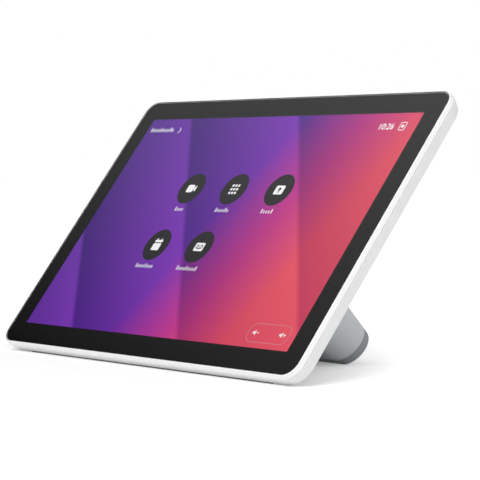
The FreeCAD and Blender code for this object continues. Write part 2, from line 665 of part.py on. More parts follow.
def main_board():
    body = plate("main_board", "board_wide", BOARD_T, "board_corner", BOARD_FRONT, BOARD_BACK, y=BOARD_Y)
    pocket(octagons_at(body, BOARD_FRONT, BOARD_SCREWS, "(board_screw_shank + hole_play)"),
           "2 * board_thick")
    plate("processor_shield", "shield_wide", "shield_tall", None, BOARD_BACK, SHIELD_BACK, "shield_x",
          SHIELD_Y)
    plate("thermal_pad", "(shield_wide - 2 * thermal_margin)", "(shield_tall - 2 * thermal_margin)",
          None, SHIELD_BACK, THERMAL_BACK, "shield_x", SHIELD_Y)
    plate("heat_spreader", "(shield_wide + 2 * spreader_margin)", SPREADER_T, None, THERMAL_BACK,
          BACK_INNER, "shield_x", SHIELD_Y)
    plate("reset_switch", "switch_wide", "switch_wide", None, BOARD_BACK,
          f"({BACK_INNER} - reset_flange_thick - reset_travel - reset_slack)", RESET_X, SHIELD_Y)


def rear_housing():
    """Shell with leaning side walls and a back that slopes up to a flat, open to the front."""
    body = new_body("rear_housing")
    loft("Additive", rounded_at(body, HOUSING_FRONT, RIM_W, RIM_T, "rim_corner"),
         rounded_at(body, "edge_deep", EDGE_W, EDGE_T, "edge_corner"))
    pad(rounded_at(body, "edge_deep", EDGE_W, EDGE_T, "edge_corner"), f"{BACK} - edge_deep", reverse=True)
    doc.recompute()
    back_slopes(across(body), EDGE_T, BACK_T)
    back_slopes(new_sketch(body, "XZ_Plane"), EDGE_W, BACK_W)
    pocket(rounded_at(body, HOUSING_FRONT, HOLLOW_W, HOLLOW_T, HOLLOW_CORNER),
           f"{HOLLOW_BACK} - {HOUSING_FRONT}")
    trough(across(body), HOLLOW_T, BACK_T, BACK_W)
    trough(new_sketch(body, "XZ_Plane"), HOLLOW_W, BACK_W, BACK_T)
    pad(octagons_at(body, BACK_INNER, POSTS, "boss_wide"), f"{BACK_INNER} - {POST_BACK}")
    doc.recompute()
    pocket(circles_at(body, BACK, POSTS, "(housing_screw_head + hole_play)"), "housing_screw_sunk",
           reverse=True)
    pocket(octagons_at(body, BACK, POSTS, "(housing_screw_shank + hole_play)"), f"{BACK} - {POST_BACK}",
           reverse=True)
    foot_holes(body, BACK, "back_wall")
    pocket(circles_at(body, BACK, RESET, "(reset_wide + reset_play)"), "back_wall", reverse=True)
    sound_slots(body)
    sound_holes(body)
    stand_level(body, "foot_proud")
    groove = level(body)
    strip_outline(groove, "foot_proud")
    pocket(groove, "foot_long", both=True)


def back_slopes(sketch, edge, flat):
    """Cuts the slopes of two opposite sides, from the rear edge up to the flat of the back."""
    for side in ("-1", "1"):
        top, rim = f"({side} * {flat} / 2)", f"({side} * {edge} / 2)"
        outside = f"({side} * ({edge} / 2 + back_inset))"
        polygon(sketch, [(top, f"-{BACK}"), (rim, "-edge_deep"), (outside, "-edge_deep"),
                         (outside, f"-2 * {BACK}"), (top, f"-2 * {BACK}")])
    pocket(sketch, f"2 * {RIM_W}", both=True)


def trough(sketch, wide, flat, length):
    """Hollows the back along two opposite slopes, so that the wall stays even."""
    polygon(sketch, [(f"(-{wide} / 2)", f"-{HOLLOW_BACK}"), (f"({wide} / 2)", f"-{HOLLOW_BACK}"),
                     (f"({flat} / 2)", f"-{BACK_INNER}"), (f"(-{flat} / 2)", f"-{BACK_INNER}")])
    pocket(sketch, length, both=True)


def foot_holes(body, depth, thick):
    """Holes for the foot's screws and the header, through the back or the foot's floor."""
    pocket(octagons_at(body, depth, STAND_SCREWS, "(stand_screw_shank + hole_play)"), thick, reverse=True)
    header_hole(body, depth, thick)


def header_hole(body, depth, thick):
    sketch = at_depth(body, depth)
    half_wide, half_tall = "(header_long / 2 + header_room)", "(header_wide / 2 + header_room)"
    rectangle(sketch, f"(header_x - {half_wide})", f"(header_x + {half_wide})", f"({STAND_Y} - {half_tall})",
              f"({STAND_Y} + {half_tall})")
    pocket(sketch, thick, reverse=True)


def sound_slots(body):
    """A row of upright slots in the back, in front of the loudspeaker."""
    sketch = at_depth(body, BACK)
    first = "(-(slot_count - 1) * slot_pitch / 2)"
    rectangle(sketch, f"({first} - slot_wide / 2)", f"({first} + slot_wide / 2)",
              f"({SPEAKER_Y} - slot_tall / 2)", f"({SPEAKER_Y} + slot_tall / 2)")
    spread(pocket(sketch, "back_wall", reverse=True), sketch, "slot_count", "slot_pitch")


def stand_level(body, height):
    """Cuts away what reaches lower than a height above the table."""
    sketch = level(body)
    rectangle(sketch, f"(-{RIM_T})", RIM_T, f"({height} - {RIM_T})", height)
    pocket(sketch, f"2 * {RIM_W}", both=True)


def strip_outline(sketch, low):
    """Section of the rubber strip, from a height above the table up to the bottom of its groove."""
    corner = f"({SHIFT} - {EDGE_T} / 2 * cos(tilt) + edge_deep * sin(tilt) - edge_trim / 2)"
    rectangle(sketch, f"({corner} - foot_wide / 2)", f"({corner} + foot_wide / 2)", low,
              "(foot_proud + foot_sunk)")


def panel_foot():
    body = new_body("panel_foot")
    sketch = level(body)
    strip_outline(sketch, "0")
    pad(sketch, "foot_long", both=True)
    doc.recompute()


def sound():
    front = f"({BACK_INNER} - seal_thick - speaker_thick)"
    back = f"({BACK_INNER} - seal_thick)"
    plate("loudspeaker", "speaker_wide", "speaker_tall", "(speaker_tall / 4)", front, back, y=SPEAKER_Y)
    seal = plate("speaker_gasket", "speaker_wide", "speaker_tall", "(speaker_tall / 4)", back, BACK_INNER,
                 y=SPEAKER_Y)
    pocket(rounded_at(seal, back, "(speaker_wide - 2 * seal_wide)", "(speaker_tall - 2 * seal_wide)",
                      "(speaker_tall / 4 - seal_wide)", y=SPEAKER_Y), "2 * seal_thick")
    body = new_body("microphones")
    sketch = at_depth(body, TRAY_BACK)
    for x, _ in MICROPHONES:
        rectangle(sketch, f"({x} - mic_wide / 2)", f"({x} + mic_wide / 2)",
                  f"({LEDGE_T} / 2 + mic_gap)", f"({INNER_T} / 2 - mic_gap)")
    pad(sketch, "mic_thick", reverse=True)
    doc.recompute()


def stand_shell():
    """Tapered tube of stadium section with a floor against the back, open at its free end."""
    body = new_body("stand_shell")
    loft("Additive", stadium_at(body, BACK, "root_radius"), stadium_at(body, SEAM, SEAM_RADIUS))
    loft("Subtractive", stadium_at(body, FLOOR_BACK, f"({FLOOR_RADIUS} - shell_wall)"),
         stadium_at(body, SEAM, f"({SEAM_RADIUS} - shell_wall)"))
    ribs = at_depth(body, FLOOR_BACK)
    for x, _ in POWER_SCREWS:
        rectangle(ribs, f"({x} - rib_wide / 2)", f"({x} + rib_wide / 2)",
                  f"({STAND_Y} - {POWER_T} / 2)", f"({STAND_Y} + {POWER_T} / 2)")
    pad(ribs, "power_rise", reverse=True)
    doc.recompute()
    foot_holes(body, FLOOR_BACK, "stand_floor")
    pocket(octagons_at(body, FLOOR_BACK, STAND_SCREWS, "(stand_screw_head + hole_play)"),
           "stand_screw_tall", reverse=True)
    pocket(octagons_at(body, POWER_FRONT, POWER_SCREWS, "(power_screw_shank + screw_play)"),
           "power_screw_bite", reverse=True)
    past_end = f"(-{WALL_RUN} - band_deep)"
    recess = on_wall(body)
    rectangle(recess, "(-cover_wide / 2 - cover_gap)", "(cover_wide / 2 + cover_gap)", past_end,
              "(cover_gap - cover_set)")
    pocket(recess, "cover_thick", reverse=True)
    bay = on_wall(body)
    rectangle(bay, "(cover_ledge - cover_wide / 2)", "(cover_wide / 2 - cover_ledge)", past_end,
              "(-cover_set - cover_ledge)")
    pocket(bay, "2 * shell_wall", reverse=True)


def cable_cover():
    """Lid over the socket bay, flush with the foot's upper wall, with guide ribs and a nail slot."""
    body = new_body("cable_cover")
    lid = on_wall(body)
    rectangle(lid, "(-cover_wide / 2)", "(cover_wide / 2)", f"(-{WALL_RUN})", "(-cover_set)")
    pad(lid, "cover_thick")
    ribs = on_wall(body, "cover_thick")
    side = "(cover_wide / 2 - cover_ledge - cover_gap)"
    start = "(-cover_set - cover_ledge - cover_gap)"
    for left, right in ((f"(-{side})", f"(guide_thick - {side})"), (f"({side} - guide_thick)", side)):
        rectangle(ribs, left, right, f"({start} - guide_long)", start)
    pad(ribs, "guide_deep")
    doc.recompute()
    slot = on_wall(body)
    rectangle(slot, "(-nail_wide / 2)", "(nail_wide / 2)", "(-cover_set - nail_deep)",
              "(cover_gap - cover_set)")
    pocket(slot, "cover_thick", reverse=True)


def stand_bracket():
    body = plate("stand_bracket", "bracket_wide", "bracket_tall", "bracket_corner",
                 f"({BACK_INNER} - bracket_thick)", BACK_INNER, y=STAND_Y)
    pocket(octagons_at(body, BACK_INNER, STAND_SCREWS, "(stand_screw_shank + screw_play)"),
           "bracket_thick", reverse=True)
    header_hole(body, BACK_INNER, "bracket_thick")


def power_board():
    body = plate("power_board", POWER_W, POWER_T, "board_corner", POWER_FRONT, POWER_BACK, y=STAND_Y)
    pocket(octagons_at(body, POWER_FRONT, POWER_SCREWS, "(power_screw_shank + hole_play)"),
           "2 * power_thick")
    plate("power_transformer", "choke_long", "choke_wide", None, POWER_BACK, f"({POWER_BACK} + choke_tall)",
          CHOKE_X, STAND_Y)
    plate("board_connector", "header_long", "header_wide", None, BOARD_BACK, POWER_FRONT, "header_x",
          STAND_Y)


def network_jack():
    """Shielded socket whose mouth faces right, with a latch notch away from the board."""
    body = plate("network_jack", "jack_long", "jack_wide", None, POWER_BACK, f"({POWER_BACK} + jack_tall)",
                 "jack_x", STAND_Y)
    mouth = across(body, "(jack_x + jack_long / 2)")
    front = f"(-{POWER_BACK} - socket_rise)"
    back = f"({front} - socket_tall)"
    notch = f"({back} - latch_tall)"
    places = [("socket_wide", front), ("socket_wide", back), ("latch_wide", back), ("latch_wide", notch)]
    right = [(f"({STAND_Y} + {wide} / 2)", z) for wide, z in places]
    left = [(f"({STAND_Y} - {wide} / 2)", z) for wide, z in reversed(places)]
    polygon(mouth, right + left)
    pocket(mouth, "socket_deep")
    springs = new_body("jack_contacts")
    sketch = across(springs, "(jack_x + jack_long / 2 - socket_deep)")
    start = f"({STAND_Y} - (contact_count - 1) * contact_pitch / 2)"
    rectangle(sketch, f"({start} - contact_wide / 2)", f"({start} + contact_wide / 2)",
              f"({front} - contact_thick)", front)
    spread(pad(sketch, "contact_long"), sketch, "contact_count", "contact_pitch")


def reset_button():
    body = new_body("reset_button")
    flange_front = f"({BACK_INNER} - reset_flange_thick)"
    pad(circles_at(body, flange_front, RESET, "reset_flange"), "reset_flange_thick", reverse=True)
    pad(circles_at(body, flange_front, RESET, "reset_wide"), f"{BACK} + reset_proud - {flange_front}",
        reverse=True)
    doc.recompute()


def cable_notch(body):
    """A way out for the cable in the middle of the upper edge of the foot's end."""
    sketch = at_depth(body, STAND_END)
    rectangle(sketch, "(-outlet_wide / 2)", "(outlet_wide / 2)",
              f"({STAND_Y} + end_radius - outlet_deep)", f"({STAND_Y} + 2 * root_radius)")
    pocket(sketch, "band_deep + 2 * spigot_deep", reverse=True)


def end_cap():
    """Plate that closes the foot, with a hollow spigot that slides into the shell."""
    body = new_body("end_cap")
    pad(stadium_at(body, BAND_FRONT, CAP_RADIUS), "band_deep - seam_gap - cap_recess", reverse=True)
    pad(stadium_at(body, BAND_FRONT, SPIGOT_RADIUS), "seam_gap + spigot_deep")
    doc.recompute()
    pocket(stadium_at(body, f"({SEAM} - spigot_deep)", f"({SPIGOT_RADIUS} - spigot_wall)"),
           "spigot_deep + seam_gap")
    cable_notch(body)


def cap_boot():
    """Rubber band round the end cap, cut level where it stands on the table."""
    body = new_body("cap_boot")
    loft("Additive", stadium_at(body, BAND_FRONT, BAND_RADIUS), stadium_at(body, STAND_END, "end_radius"))
    pocket(stadium_at(body, BAND_FRONT, "(end_radius - boot_thick)"), "2 * band_deep")
    cable_notch(body)
    stand_level(body, "0")


def fasteners():
    screws("plate_screws", PLATE_SCREWS, "plate_screw_shank", f"({TRAY_BACK} - plate_screw_bite)",
           "plate_screw_head", PLATE_BACK, f"({PLATE_BACK} + plate_screw_shank / 2)")
    screws("board_screws", BOARD_SCREWS, "board_screw_shank", PLATE_BACK, "board_screw_head", BOARD_BACK,
           f"({BOARD_BACK} + board_screw_tall)")
    sunk = f"({BACK} - housing_screw_sunk)"
    screws("housing_screws", POSTS, "housing_screw_shank", PLATE_BACK, "housing_screw_head", sunk,
           f"({sunk} + housing_screw_tall)")
    seat = f"({FLOOR_BACK} - stand_screw_tall)"
    screws("stand_screws", STAND_SCREWS, "stand_screw_shank",
           f"({BACK_INNER} - bracket_thick - stand_screw_end)", "stand_screw_head", seat, FLOOR_BACK)
    screws("power_board_screws", POWER_SCREWS, "power_screw_shank", f"({POWER_FRONT} - power_screw_bite)",
           "power_screw_head", POWER_BACK, f"({POWER_BACK} + power_screw_tall)")


def main():
    for make in (cover_glass, border_film, glass_gasket, display, front_frame, mid_plate, display_ribbon,
                 main_board, rear_housing, panel_foot, sound, stand_shell, cable_cover, stand_bracket,
                 power_board, network_jack, reset_button, end_cap, cap_boot, fasteners):
        make()
    doc.recompute()
    for item in doc.Objects:
        if "Invalid" in item.State or "Error" in item.State:
            raise RuntimeError(f"{item.Label} failed: {item.State}")
    bodies = [item for item in doc.Objects if item.TypeId == "PartDesign::Body"]
    for body in bodies:
        if body.Shape.isNull() or not body.Shape.isValid():
            raise RuntimeError(f"{body.Label} has no valid shape")
    os.makedirs("parts", exist_ok=True)
    for body in bodies:
        body.Shape.exportStep(f"parts/{body.Label}.step")


main()
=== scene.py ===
import json
import math
from collections import namedtuple

import bmesh
import bpy
from mathutils import Matrix, Vector


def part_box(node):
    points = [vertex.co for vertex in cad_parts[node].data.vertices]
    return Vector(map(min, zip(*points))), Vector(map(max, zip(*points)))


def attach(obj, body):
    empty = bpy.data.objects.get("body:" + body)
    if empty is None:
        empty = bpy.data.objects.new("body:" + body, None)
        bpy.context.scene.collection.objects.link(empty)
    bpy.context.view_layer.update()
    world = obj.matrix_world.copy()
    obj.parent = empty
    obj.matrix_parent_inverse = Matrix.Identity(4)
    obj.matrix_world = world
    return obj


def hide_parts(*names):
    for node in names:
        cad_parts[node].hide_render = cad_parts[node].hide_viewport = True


bl_info = {
    "name": "Touch desk phone",
    "version": (1, 0, 0),
    "blender": (4, 5, 0),
    "location": "3D View > Sidebar > Desk phone",
    "description": "Dresses a leaning touch panel on one tapered foot",
    "category": "Object",
}

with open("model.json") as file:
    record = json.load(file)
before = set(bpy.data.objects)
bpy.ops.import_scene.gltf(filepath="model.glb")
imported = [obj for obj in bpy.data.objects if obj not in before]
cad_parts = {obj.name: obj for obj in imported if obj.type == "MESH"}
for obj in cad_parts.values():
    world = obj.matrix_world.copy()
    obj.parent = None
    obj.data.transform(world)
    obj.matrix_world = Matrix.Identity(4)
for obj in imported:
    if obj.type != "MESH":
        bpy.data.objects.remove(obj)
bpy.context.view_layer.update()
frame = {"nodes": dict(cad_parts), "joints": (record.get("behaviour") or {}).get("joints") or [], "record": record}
MM = 0.001
WHITE = (1.0, 1.0, 1.0, 1.0)
BLACK = (0.0, 0.0, 0.0, 1.0)
# Keeps the finishes' names apart from those of the frame's own materials.
FINISH_PREFIX = "phone_"
# A Mix node's colour sockets share their names with others, so they go by number.
MIX_FIRST, MIX_SECOND, MIX_RESULT = 6, 7, 2
# Points nearer than the first are one, and edges shorter than the second are taken out of a finished piece.
SAME_POINT = 1e-7
SLIVER = 1e-6
# How far a form that cuts reaches past the surface, and how far one that is joined reaches into it.
REACH = 3 * MM
OVERLAP = 0.3 * MM
# Steps of a rounded edge, and of a quarter circle on each kind of section.
EDGE_STEPS, LID_EDGE_STEPS = 4, 3
PANEL_STEPS, HOUSING_STEPS, FOOT_STEPS, SCREW_STEPS, LINE_STEPS, SMALL_STEPS = 12, 14, 20, 8, 10, 6
# Sides of a hole in the back, of a microphone's hole and of a hex socket.
HOLE_SIDES, INLET_SIDES, SOCKET_SIDES = 40, 20, 6
# Edges that turn by more than this look sharp.
SHARP = math.radians(32)

# The panel's own frame: X to the right, Y up the glass, Z out of it, origin in the middle of the front.
NORMAL = next(joint["axis"] for joint in frame["joints"] if joint["name"] == "reset_press")
TILT = math.atan2(-NORMAL[1], NORMAL[2])
SLOTS = {part["node"]: part["material_slot"] for part in frame["record"]["subparts"]}


def extent(node, place):
    """Lowest and highest corner of a CAD node along the axes of a placed frame."""
    inward = place.inverted()
    columns = list(zip(*(inward @ vertex.co for vertex in frame["nodes"][node].data.vertices)))
    return Vector([min(column) for column in columns]), Vector([max(column) for column in columns])


def panel_place():
    """The panel's frame, from the box of the glass along its tilt."""
    turned = Matrix.Rotation(TILT, 4, "X")
    low, high = extent("cover_glass", turned)
    return turned @ Matrix.Translation(((low.x + high.x) / 2, (low.y + high.y) / 2, high.z))


PANEL = panel_place()
BOXES = {node: extent(node, PANEL) for node in frame["nodes"]}


def wide(node):
    return BOXES[node][1].x - BOXES[node][0].x


def tall(node):
    return BOXES[node][1].y - BOXES[node][0].y


def middle(node):
    return (BOXES[node][0] + BOXES[node][1]) / 2


def front(node):
    """Depth of a node's foremost point behind the glass front."""
    return -BOXES[node][1].z


def back(node):
    """Depth of a node's rearmost point behind the glass front."""
    return -BOXES[node][0].z


# The foot is a stadium that shrinks evenly from its root to its end.
ROOT_DEPTH = front("stand_shell")
SEAM_DEPTH = back("stand_shell")
ROOT_RADIUS = tall("stand_shell") / 2
HALF_SPAN = wide("stand_shell") / 2 - ROOT_RADIUS
FOOT_Y = middle("stand_shell").y
BAND_DEPTH = front("cap_boot")
TAPER = (ROOT_RADIUS - wide("cap_boot") / 2 + HALF_SPAN) / (BAND_DEPTH - ROOT_DEPTH)
# Along the foot's upper wall: Y runs up to the root, Z into the foot.
WALL = (PANEL @ Matrix.Translation((0, FOOT_Y + ROOT_RADIUS, -ROOT_DEPTH))
        @ Matrix.Rotation(math.pi / 2 - math.atan(TAPER), 4, "X"))
LID_LOW, LID_HIGH = extent("cable_cover", WALL)


def foot_radius(depth):
    return ROOT_RADIUS - TAPER * (depth - ROOT_DEPTH)


def length(name, description, millimetres):
    """A property that holds a length."""
    return bpy.props.FloatProperty(name=name, description=description, default=millimetres * MM, min=0.0,
                                   precision=5, unit="LENGTH", subtype="DISTANCE")


def amount(name, description, value, unit="NONE"):
    """A property that holds a number."""
    return bpy.props.FloatProperty(name=name, description=description, default=value, min=0.0, unit=unit)


def triple(name, description, subtype, *value):
    """A property that holds a place, a direction or a linear colour."""
    return bpy.props.FloatVectorProperty(name=name, description=description, default=value, subtype=subtype,
                                         unit="LENGTH" if subtype == "TRANSLATION" else "NONE")


class PanelSizes(bpy.types.PropertyGroup):
    """Roundings and walls of the glass, the rim and the housing."""

    glass_corner: length("Glass corner", "Corner radius of the glass", 7.3)
    glass_soft: length("Glass edge", "Rounding of the glass's front edge", 0.12)
    glass_gap: length("Glass gap", "Room round the glass", 0.25)
    rim_land: length("Rim land", "Flat front edge of the rim", 0.35)
    rim_corner: length("Rim corner", "Corner radius of the rim at its widest", 9.0)
    rim_deep: length("Parting line", "Parting line behind the glass front", 2.6)
    rim_soft: length("Rim edge", "Rounding of the rim's edges", 0.15)
    wall: length("Wall", "Thickness of the housing", 1.8)
    wall_lean: length("Wall lean", "How far the side wall leans in at the rear edge", 1.0)
    edge_deep: length("Rear edge", "Depth of the rear edge of the side wall", 8.8)
    edge_corner: length("Rear corner", "Corner radius at the rear edge", 10.5)
    edge_soft: length("Rear edge rounding", "Rounding of the rear edge", 0.5)
    back_inset: length("Back inset", "Flat of the back inside the rear edge", 24.0)
    back_soft: length("Back rounding", "Rounding where the slopes meet the flat of the back", 7.0)


class FootSizes(bpy.types.PropertyGroup):
    """Walls and details of the foot, its lid and its end."""

    wall: length("Wall", "Thickness of the foot's wall", 2.2)
    floor: length("Floor", "Thickness of the foot's floor", 2.5)
    lid_thick: length("Lid thickness", "Thickness of the cable lid", 1.1)
    lid_gap: length("Lid gap", "Room round the cable lid", 0.25)
    lid_ledge: length("Lid ledge", "Ledge under the edges of the lid", 2.5)
    nail_wide: length("Nail slot width", "Width of the nail slot", 14.0)
    nail_deep: length("Nail slot depth", "Depth of the nail slot", 1.2)
    rib_long: length("Rib length", "Length of the guide ribs under the lid", 30.0)
    rib_thick: length("Rib thickness", "Thickness of the guide ribs under the lid", 1.2)
    band_wall: length("Band wall", "Thickness of the rubber band at the end", 1.6)
    band_soft: length("Band edge", "Rounding of the rubber band's end", 0.5)
    notch_wide: length("Cable notch width", "Width of the cable's way out", 12.0)
    notch_deep: length("Cable notch depth", "Depth of the cable's way out", 8.0)


class ScreenSizes(bpy.types.PropertyGroup):
    """Sizes on the lit screen."""

    lit_wide: length("Lit width", "Width of the lit area", 216.4)
    lit_tall: length("Lit height", "Height of the lit area", 135.6)
    target: length("Touch target", "Diameter of a round touch target", 19.2)
    pitch: length("Target pitch", "Distance between touch targets", 35.8)
    stroke: length("Stroke", "Thickness of drawn lines", 0.55)


class FinishColours(bpy.types.PropertyGroup):
    """Colours of the finishes, linear."""

    white: triple("White", "Rim and housing", "COLOR", 0.83, 0.835, 0.835)
    foot: triple("Foot", "Foot and its lid", "COLOR", 0.61, 0.635, 0.655)
    band: triple("Band", "Rubber band at the end of the foot", "COLOR", 0.3, 0.318, 0.335)
    cap: triple("Cap", "End of the foot and the reset button", "COLOR", 0.2, 0.21, 0.22)
    border: triple("Border", "Print round the lit area", "COLOR", 0.006, 0.006, 0.006)
    target: triple("Target", "Touch targets", "COLOR", 0.017, 0.015, 0.019)
    mark: triple("Mark", "Pictograms and digits", "COLOR", 0.97, 0.97, 0.97)
    line: triple("Line", "Outline of the volume strip", "COLOR", 0.66, 0.26, 0.31)


class StageSettings(bpy.types.PropertyGroup):
    """Camera, light and floor."""

    eye: triple("Eye", "Place of the camera", "TRANSLATION", 0.8187, -0.62519, 0.09839)
    aim: triple("Aim", "Direction that the camera looks in", "DIRECTION", -0.78792, 0.61467, -0.03694)
    lens: amount("Lens", "Focal length of the camera in millimetres", 155.348)
    key: amount("Key lamp", "Power of the large soft lamp", 15.0, "POWER")
    key_place: triple("Key place", "Place of the large soft lamp", "TRANSLATION", 0.42, -0.98, 0.95)
    ambient: amount("Ambient", "Strength of the light from all round", 0.64)
    floor_tone: amount("Floor tone", "How much light the floor sends back", 0.9)
    # Painted light on the floor: the white added as it is seen grows away from the phone, most on the floor side,
    # and paints out the shadow there; the real shadow shows only near the phone.
    floor_least: amount("Least white", "White that is added to the whole floor, as it is seen", 0.08)
    floor_painted_lift: amount("Most white", "White that is added to the floor away from the phone", 0.5)
    painted_lift_rise: amount("Floor rise", "How fast that white grows, per metre", 6.0)
    floor_side: triple("Floor side", "Side on which it begins near the phone", "DIRECTION", 0.6, 0.8, 0.0)
    floor_start: length("Floor start", "How far from the middle it begins on that side", 12.0)
    floor_ring: length("Floor ring", "How far from the middle it begins on all sides", 140.0)


class Value:
    """One output of a shader node. A sum with it adds a Math node."""

    def __init__(self, nodes, socket):
        self.nodes = nodes
        self.socket = socket

    def __add__(self, other):
        return self.nodes.math("ADD", self, other)

    __radd__ = __add__

    def __sub__(self, other):
        return self.nodes.math("SUBTRACT", self, other)

    def __rsub__(self, other):
        return self.nodes.math("SUBTRACT", other, self)

    def __mul__(self, other):
        return self.nodes.math("MULTIPLY", self, other)

    __rmul__ = __mul__

    def output(self, key):
        """Another output of the same node, by its name or number."""
        return Value(self.nodes, self.socket.node.outputs[key])


class Nodes:
    """Adds shader nodes to a tree."""

    def __init__(self, tree):
        self.tree = tree

    def put(self, socket, value):
        if isinstance(value, Value):
            self.tree.links.new(value.socket, socket)
        else:
            socket.default_value = value

    def node(self, kind, settings=None, sockets=None):
        """First output of a new node. Its settings are set first, a ramp's stops among them."""
        made = self.tree.nodes.new(kind)
        for key, value in (settings or {}).items():
            if key == "stops":
                elements = made.color_ramp.elements
                while len(elements) < len(value):
                    elements.new(1.0)
                for element, (position, tint) in zip(elements, value):
                    element.position = position
                    element.color = (*tint, 1.0)
            else:
                setattr(made, key, value)
        for key, value in (sockets or {}).items():
            self.put(made.inputs[key], value)
        return Value(self, made.outputs[0]) if made.outputs else None

    def math(self, operation, *values):
        return self.node("ShaderNodeMath", {"operation": operation}, dict(enumerate(values)))

    def vector_math(self, operation, *values):
        """Number that comes from vectors, such as a length."""
        made = self.node("ShaderNodeVectorMath", {"operation": operation}, dict(enumerate(values)))
        return made.output("Value")

    def mix(self, factor, first, second):
        return self.node("ShaderNodeMix", {"data_type": "RGBA"},
                         {0: factor, MIX_FIRST: first, MIX_SECOND: second}).output(MIX_RESULT)

    def ramp(self, factor, stops):
        return self.node("ShaderNodeValToRGB", {"stops": stops}, {0: factor})

    def emission(self, strength):
        return self.node("ShaderNodeEmission", sockets={"Color": WHITE, "Strength": strength})

    def object_place(self):
        return self.node("ShaderNodeTexCoord").output("Object")


class Finish(Nodes):
    """A procedural material on Object coordinates, with constants set on its shader."""

    def __init__(self, name, constants):
        self.material = bpy.data.materials.new(f"{FINISH_PREFIX}{name}")
        self.material.use_nodes = True
        super().__init__(self.material.node_tree)
        self.shader = self.tree.nodes["Principled BSDF"]
        for socket, value in constants.items():
            self.shader.inputs[socket].default_value = value
        self.place = self.object_place()

    def on_panel(self, scale):
        """Coordinates along the glass, with its middle as origin, over a scale."""
        mapped = self.node("ShaderNodeMapping", {"vector_type": "TEXTURE"},
                           {"Vector": self.place, "Location": PANEL.translation, "Rotation": (TILT, 0, 0),
                            "Scale": scale})
        return self.parts(mapped)

    def parts(self, vector):
        split = self.node("ShaderNodeSeparateXYZ", sockets={"Vector": vector})
        return [split.output(axis) for axis in "XYZ"]

    def noise(self, scale, detail=2.0, vector=None):
        return self.node("ShaderNodeTexNoise",
                         sockets={"Vector": vector or self.place, "Scale": scale, "Detail": detail})

    def feed(self, **values):
        """Links values that change over the surface, sockets written with underscores."""
        for name, value in values.items():
            self.put(self.shader.inputs[name.replace("_", " ")], value)

    def coat(self, tone, tint, dark, light, roughness):
        """A colour's darker and lighter shade, mixed by a tone, and the roughness."""
        self.feed(Base_Color=self.mix(tone, shade(tint, dark), shade(tint, light)), Roughness=roughness)

    def bump(self, height, distance):
        self.feed(Normal=self.node("ShaderNodeBump",
                                   sockets={"Height": height, "Distance": distance, "Strength": 1.0}))


def shade(tint, factor):
    """A colour made lighter or darker, with full alpha."""
    return (*(min(1.0, channel * factor) for channel in tint), 1.0)


def moulded(name, tint, rough):
    """Moulded plastic with a fine spark-eroded grain and faint flow clouds."""
    finish = Finish(name, {"IOR": 1.46})
    cloud = finish.noise(scale=35.0, detail=3.0)
    grain = finish.noise(scale=3800.0)
    tone = cloud * 0.6 + grain * 0.4
    finish.coat(tone, tint, 0.965, 1.035, rough - 0.06 + 0.12 * grain)
    finish.bump(grain, 0.012 * MM)


def rubber(name, tint):
    """Soft touch rubber: matt, with a pebbled skin and pale wear on its high spots."""
    finish = Finish(name, {"IOR": 1.5})
    pebble = finish.node("ShaderNodeTexVoronoi", {"feature": "SMOOTH_F1"},
                         {"Vector": finish.place, "Scale": 2200.0})
    dust = finish.noise(scale=160.0, detail=4.0)
    finish.coat(dust, tint, 0.9, 1.12, 0.62 + 0.16 * dust)
    finish.bump(pebble, 0.02 * MM)


def metal(name, tint, rough):
    """Sheet metal with the drawn lines of rolling."""
    finish = Finish(name, {"Metallic": 1.0})
    drawn = finish.node("ShaderNodeMapping", sockets={"Vector": finish.place, "Scale": (900.0, 40.0, 40.0)})
    lines = finish.noise(scale=1.0, detail=5.0, vector=drawn)
    finish.coat(lines, tint, 0.88, 1.08, rough - 0.08 + 0.16 * lines)
    finish.bump(lines, 0.01 * MM)


def cover_glass_finish():
    """Clear hard glass with a trace of wiped film on it."""
    finish = Finish("cover_glass", {"Base Color": WHITE, "IOR": 1.5, "Transmission Weight": 1.0})
    finish.feed(Roughness=0.01 + 0.025 * finish.noise(scale=55.0, detail=4.0))


def border_finish(tint):
    """Black print on the glass back, with the faint mesh of its screen."""
    finish = Finish("black_print", {"IOR": 1.5, "Specular IOR Level": 0.0})
    mesh = finish.noise(scale=5200.0, detail=1.0)
    finish.coat(mesh, tint, 0.75, 1.3, 0.4 + 0.2 * mesh)


def lit_finish(name):
    """A finish that only gives out light."""
    return Finish(name, {"Base Color": BLACK, "Specular IOR Level": 0.0, "Roughness": 0.5,
                         "Emission Strength": 1.0})


def wallpaper_finish(sizes):
    """Lit display: slanted pleats that turn from indigo through violet and magenta to coral."""
    finish = lit_finish("lit_display")
    across, up, _ = finish.on_panel((sizes.lit_wide / 2, sizes.lit_tall / 2, 1.0))
    run = 0.5 + 0.4 * across - 0.1 * up
    deep = finish.ramp(run, [(0.0, (0.045, 0.012, 0.17)), (0.48, (0.075, 0.01, 0.25)),
                             (0.66, (0.32, 0.015, 0.17)), (0.82, (0.55, 0.038, 0.1))])
    light = finish.ramp(run, [(0.0, (0.13, 0.035, 0.36)), (0.48, (0.2, 0.03, 0.46)),
                              (0.66, (0.55, 0.035, 0.26)), (0.82, (0.8, 0.085, 0.125))])
    pleat = finish.math("FRACT", 1.2 * across + 0.55 * up + 3.25)
    fold = finish.math("SMOOTH_MIN", pleat, (1.0 - pleat) * 24.0, 0.12)
    picture = finish.mix(fold, deep, light)
    inside = (finish.math("LESS_THAN", finish.math("ABSOLUTE", across), 1.0)
              * finish.math("LESS_THAN", finish.math("ABSOLUTE", up), 1.0))
    finish.feed(Emission_Color=finish.mix(inside, BLACK, picture))


def drawn_finish(name, tint, sizes):
    """What the display draws over its wallpaper, a little lighter towards the top."""
    finish = lit_finish(name)
    _, up, _ = finish.on_panel((1.0, sizes.lit_tall / 2, 1.0))
    finish.feed(Emission_Color=finish.mix(0.5 + 0.5 * up, shade(tint, 0.9), shade(tint, 1.1)))


